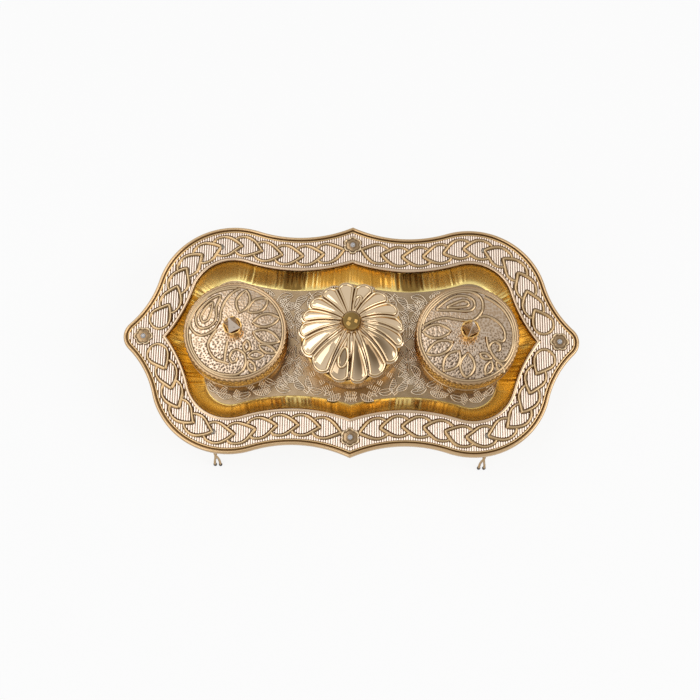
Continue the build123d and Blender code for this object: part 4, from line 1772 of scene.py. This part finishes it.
@dataclass
class FlowerBox:
    """The middle box: a round cup, a lid of sixteen uneven petals and a polished ball as its knob."""

    level: Level
    tips: tuple[float, ...] = (
        98, 74, 50, 30, 6, -11, -31, -58, -82, -104, -131, -158, -181, -198, -218, -240,
    )
    radius: float = 23.3
    notch: float = 2.9
    neck_radius: float = 2.1
    rim_height: float = 16.3
    neck_height: float = 28.3
    slope: float = 0.42
    power: float = 6.0
    fan: float = 36.0
    twist: float = 5.0
    petal_columns: int = 28
    petal_rows: int = 90
    border_gap: float = 1.05
    border_width: float = 1.65
    border_height: float = 0.8
    drops: tuple[tuple[float, float, float], ...] = ((74, 8.5, 16.5), (-104, 8.5, 17.0))
    drop_width: float = 2.0
    ball_radius: float = 4.5

    def make_cup(self) -> None:
        """Make the round cup below the petals."""
        shell = Shell("centre_cup_shell")
        outside = [(0.001, 0.0), (21.0, 0.0), (21.5, 0.3), (22.2, 3.0), (22.6, 6.0), (22.7, 8.0)]
        brim = [(22.6, 11.0), (22.4, 14.0), (22.3, 15.1), (22.1, 15.3), (21.5, 15.3), (21.3, 15.1)]
        inside = [(21.3, 2.6), (20.6, 1.4), (20.0, 1.0), (0.001, 1.0)]
        rows = shell.turned(outside + brim + inside, (0.0, 0.0), self.level.floor_top, 128)
        shell.skin(rows, 128, closed=True)
        settle(shell.make(CUP_FINISH), Body.CENTRE_CUP, CUP_FINISH, "centre_cup")

    def _petals(self) -> list[Point]:
        """Return for each petal how far it spreads on both sides of its tip, in degrees."""
        tips = np.array(self.tips, float)
        right = (tips - np.append(tips[1:], tips[0] - 360)) / 2
        return list(zip(np.roll(right, 1), right))

    def _dome(self, radius: np.ndarray) -> np.ndarray:
        """Return the height of the dome above the floor plate.

        Args:
            radius: Distances from the middle.

        Returns:
            The height at each of them.
        """
        share = np.clip((self.radius - radius) / (self.radius - self.neck_radius), 0, 1)
        rise = self.slope * share + (1 - self.slope) * share**self.power
        return self.rim_height + (self.neck_height - self.rim_height) * rise

    def _edge(self, offset: np.ndarray) -> np.ndarray:
        """Return the radius of a petal's edge, from its middle (0) to its notches (-1 and 1)."""
        return self.radius - self.notch * np.abs(offset) ** 2.3

    def _fanned(self, angle: np.ndarray, part: float | np.ndarray) -> np.ndarray:
        """Turn angles so that the petals leave the neck upwards and curve down to the edge.

        Args:
            angle: Angles at the edge.
            part: How far out they are, from 0 at the neck to 1 at the edge.

        Returns:
            The turned angles.
        """
        bend = math.radians(self.fan) * np.cos(angle) + math.radians(self.twist)
        return angle + bend * (1 - part) ** 1.15

    def make_lid(self) -> None:
        """Make the puffed petals, and the underside with its register ring."""
        shell = Shell("flower_lid_petals")
        base = self.level.floor_top
        ease = np.sin(np.linspace(-1, 1, self.petal_columns, endpoint=False) * math.pi / 2)
        spread = np.array([np.where(ease < 0, left, right) for left, right in self._petals()])
        tips = np.array(self.tips, float)[:, None]
        angle = np.radians(tips - ease * spread).ravel()
        half = np.radians(spread).ravel()
        offset = np.tile(ease, len(self.tips))
        columns = len(angle)
        # Each petal has its own painted reflection: the front ones are painted darkest and the left ones a
        # little lighter.
        petal = np.radians(np.repeat(tips, self.petal_columns))
        low = np.clip(-np.sin(petal - 0.3), 0, 1) * (1 - 0.8 * np.abs(offset) ** 3)
        shade = 0.22 * np.sin(3.7 * petal) * offset - 0.56 * low + 0.14 * np.clip(-np.cos(petal - 0.5), 0, 1)
        edge = self._edge(offset)
        rows = []
        for part in (np.linspace(0, 1, self.petal_rows) ** 0.85)[::-1]:
            radius = self.neck_radius + (edge - self.neck_radius) * part
            room = np.clip(half * radius / 2.5, 0.15, 1.0)
            puff = 0.95 * room * (1 - offset**2) - 0.5 * room
            height = base + self._dome(radius) + puff * min(1.0, 6 * (1 - part) + 0.15)
            # Beside the borders each petal is painted dark as shade, and elsewhere its relief is held to the
            # petal's painted reflection.
            side_gap = (1 - np.abs(offset)) * half * radius
            crest = 0.5 + shade * (0.35 + 0.65 * math.sin(math.pi * part))
            relief = np.clip(0.22 + side_gap / 0.6, 0, crest)
            rows.append(shell.put(polar(self._fanned(angle, part), radius), height, relief=relief))
        shell.skin(rows[::-1], columns)
        seat = [(edge, 15.3), (21.3, 15.3), (21.0, 15.3)]
        register = [(21.0, 12.3), (20.1, 12.3), (20.1, 15.4)]
        ring = [
            shell.put(polar(angle, radius), base + height, relief=0.5)
            for radius, height in seat + register + [(6.0, 20.5), (2.0, 24.0)]
        ]
        shell.skin([rows[0], *ring], columns)
        shell.fan(rows[-1], columns, (0, 0, base + self.neck_height), flip=True, relief=0.5)
        shell.fan(ring[-1], columns, (0, 0, base + 24.2), relief=0.5)
        settle(shell.make(PETAL_FINISH, sharp=60.0), Body.CENTRE_LID, PETAL_FINISH, "centre_lid")

    def make_borders(self) -> None:
        """Make the raised U-shaped border of each petal and the drops inside the two broad petals."""
        work = WireWork(
            "flower_petal_borders", self.border_width, self.border_height, PETAL_BORDER_FINISH, sides=14
        )
        across = np.sin(np.linspace(-1.15, 1.15, 15))
        edge = self._edge(across) - self.border_gap
        inner = np.linspace(0.16, 0.94, 14)
        radius = np.concatenate([inner * edge[0], edge, inner[::-1] * edge[-1]])
        offset = np.concatenate([np.full(14, across[0]), across, np.full(14, across[-1])])
        for tip, (left, right) in zip(self.tips, self._petals()):
            half = np.radians(np.where(offset < 0, left, right))
            room = np.clip(1 - self.border_gap * 0.8 / (half * radius), 0.1, 1)
            self._draw(work, math.radians(tip) - np.clip(offset, -room, room) * half, radius, -0.1)
        for tip, near, far in self.drops:
            turn = round_steps(24)
            radius = (near + far) / 2 - (far - near) / 2 * np.cos(turn)
            reach = self.drop_width * np.sin(turn) * (0.5 + 0.5 * (radius - near) / (far - near))
            self._draw(work, math.radians(tip) + reach / radius, radius, 0.35, closed=True)
        work.settle(Body.CENTRE_LID)

    def _draw(
        self, work: WireWork, angle: np.ndarray, radius: np.ndarray, rise: float, closed: bool = False
    ) -> None:
        """Add a path on the petals.

        Args:
            work: The wires that it belongs to.
            angle: The angle of each of its points, at the edge.
            radius: The radius of each of its points.
            rise: How far it lies above the dome.
            closed: Whether its last point joins its first.
        """
        turn = self._fanned(angle, (radius - self.neck_radius) / (self.radius - self.neck_radius))
        work.path(polar(turn, radius), self.level.floor_top + self._dome(radius) + rise, closed)

    def make_ball(self) -> None:
        """Make the polished ball on the neck."""
        shell = Shell("centre_ball_polished")
        start = math.asin(self.neck_radius / self.ball_radius)
        centre = self.neck_height + self.ball_radius * math.cos(start)
        arc = np.linspace(math.pi - start, 0.03, 48)
        profile = np.column_stack([np.sin(arc), np.cos(arc)]) * self.ball_radius + (0.0, centre)
        shell.tube(shell.turned(profile, (0.0, 0.0), self.level.floor_top, 96), 96)
        settle(shell.make(BALL_FINISH), Body.CENTRE_LID, BALL_FINISH, "centre_knob")

    def make(self) -> None:
        """Make every piece of the middle box."""
        self.make_cup()
        self.make_lid()
        self.make_borders()
        self.make_ball()


@dataclass
class Studio:
    """The pale floor, the soft lights, the white background and the camera of the photograph."""

    elevation: float = 73.0
    distance: float = 532.5
    target_height: float = 27.0
    roll: float = 0.817
    sensor: float = 36.0
    focal_share: float = 1.7
    shift_x: float = -0.0020
    shift_y: float = -0.0156
    floor_reach: float = 4.0
    soft_light: float = 0.55

    def _place(self, name: str, data: bpy.types.ID) -> bpy.types.Object:
        """Put a new object in the scene.

        Args:
            name: Its name.
            data: Its mesh, lamp or camera.

        Returns:
            The object.
        """
        piece = bpy.data.objects.new(name, data)
        bpy.context.scene.collection.objects.link(piece)
        return piece

    def make_floor(self) -> None:
        """Make the pale floor."""
        mesh = bpy.data.meshes.new("studio_floor")
        corners = [(x * self.floor_reach, y * self.floor_reach, 0) for x, y in QUARTERS]
        mesh.from_pydata(corners, [], [(0, 1, 2, 3)])
        mesh.materials.append(PaleFloor("pale studio floor", None).make())
        self._place("studio_floor", mesh)

    def make_world(self) -> None:
        """Make the world: soft light on the object, white where the camera or a reflection sees it."""
        world = bpy.data.worlds.new("soft studio")
        world.use_nodes = True
        bench = Bench(world.node_tree)
        bench.tree.nodes.clear()
        soft, white = (
            bench.add("ShaderNodeBackground", {"Strength": strength}).outputs["Background"]
            for strength in (self.soft_light, 1.0)
        )
        blend = bench.add("ShaderNodeMixShader", {0: bench.seen(), 1: soft, 2: white}).outputs["Shader"]
        bench.add("ShaderNodeOutputWorld", {"Surface": blend})
        bpy.context.scene.world = world

    def make_light(self, name: str, place: tuple[float, float, float], size: float, power: float) -> None:
        """Make one square soft light that faces the tray.

        Args:
            name: The light's name.
            place: Where it stands, in metres.
            size: Its side, in metres.
            power: Its power in watts.
        """
        lamp = bpy.data.lights.new(name, "AREA")
        lamp.size = size
        lamp.energy = power
        piece = self._place(name, lamp)
        piece.location = place
        piece.rotation_euler = (-Vector(place)).to_track_quat("-Z", "Y").to_euler()

    def make_camera(self) -> None:
        """Make the camera that stands where the photograph was taken from."""
        lens = bpy.data.cameras.new("photo_camera")
        lens.sensor_width = self.sensor
        lens.lens = self.sensor * self.focal_share
        lens.shift_x = self.shift_x
        lens.shift_y = self.shift_y
        lens.clip_start = 0.01
        rise = math.radians(self.elevation)
        target = Vector((0, 0, self.target_height * MM))
        back = Vector((0, -math.cos(rise), math.sin(rise)))
        place = Matrix.Translation(target + back * self.distance * MM)
        tilt = Matrix.Rotation(math.pi / 2 - rise, 4, "X")
        camera = self._place("photo_camera", lens)
        camera.matrix_world = place @ tilt @ Matrix.Rotation(math.radians(self.roll), 4, "Z")
        bpy.context.scene.camera = camera

    def make(self) -> None:
        """Set up the whole studio."""
        bpy.context.scene.view_settings.view_transform = "Standard"
        self.make_floor()
        self.make_world()
        self.make_light("soft_front_left", (-0.9, -0.9, 0.9), 1.2, 6.5)
        self.make_light("soft_right", (1.1, -0.2, 1.0), 0.9, 6.5)
        self.make_light("soft_top_left", (-0.6, 0.3, 1.36), 0.9, 4.0)
        self.make_camera()


def main() -> None:
    """Build the kumkum box in order."""
    logging.basicConfig(level=logging.INFO, format="%(name)s %(message)s")
    level = Level.read()
    low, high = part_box("tray_rim")
    outline = TrayOutline(length=(high.x - low.x) / MM, width=(high.y - low.y) / MM)
    Rim(outline, level).make()
    fine = replace(outline, tip_steps=24, hollow_steps=130, lobe_steps=64, waist_steps=170)
    Well(fine, level).make()
    leg = Leg(level)
    for row, sign_y in (("front", -1), ("rear", 1)):
        for side, sign_x in (("left", -1), ("right", 1)):
            leg.make(f"{row}_{side}_leg", (sign_x, sign_y))
    leg.make_toe_caps()
    SideBox("left", -BOX_X, level, LEFT_PAISLEY, Body.LEFT_CUP, Body.LEFT_LID, lean=(-1.8, 2.0)).make()
    SideBox("right", BOX_X, level, RIGHT_PAISLEY, Body.RIGHT_CUP, Body.RIGHT_LID, lean=(1.4, 1.7)).make()
    FlowerBox(level).make()
    for node in ("left_knob_rivet", "right_knob_rivet", "centre_knob_rivet"):
        dress(node, RIVET_FINISH)
    Studio().make()


if __name__ == "__main__":
    main()
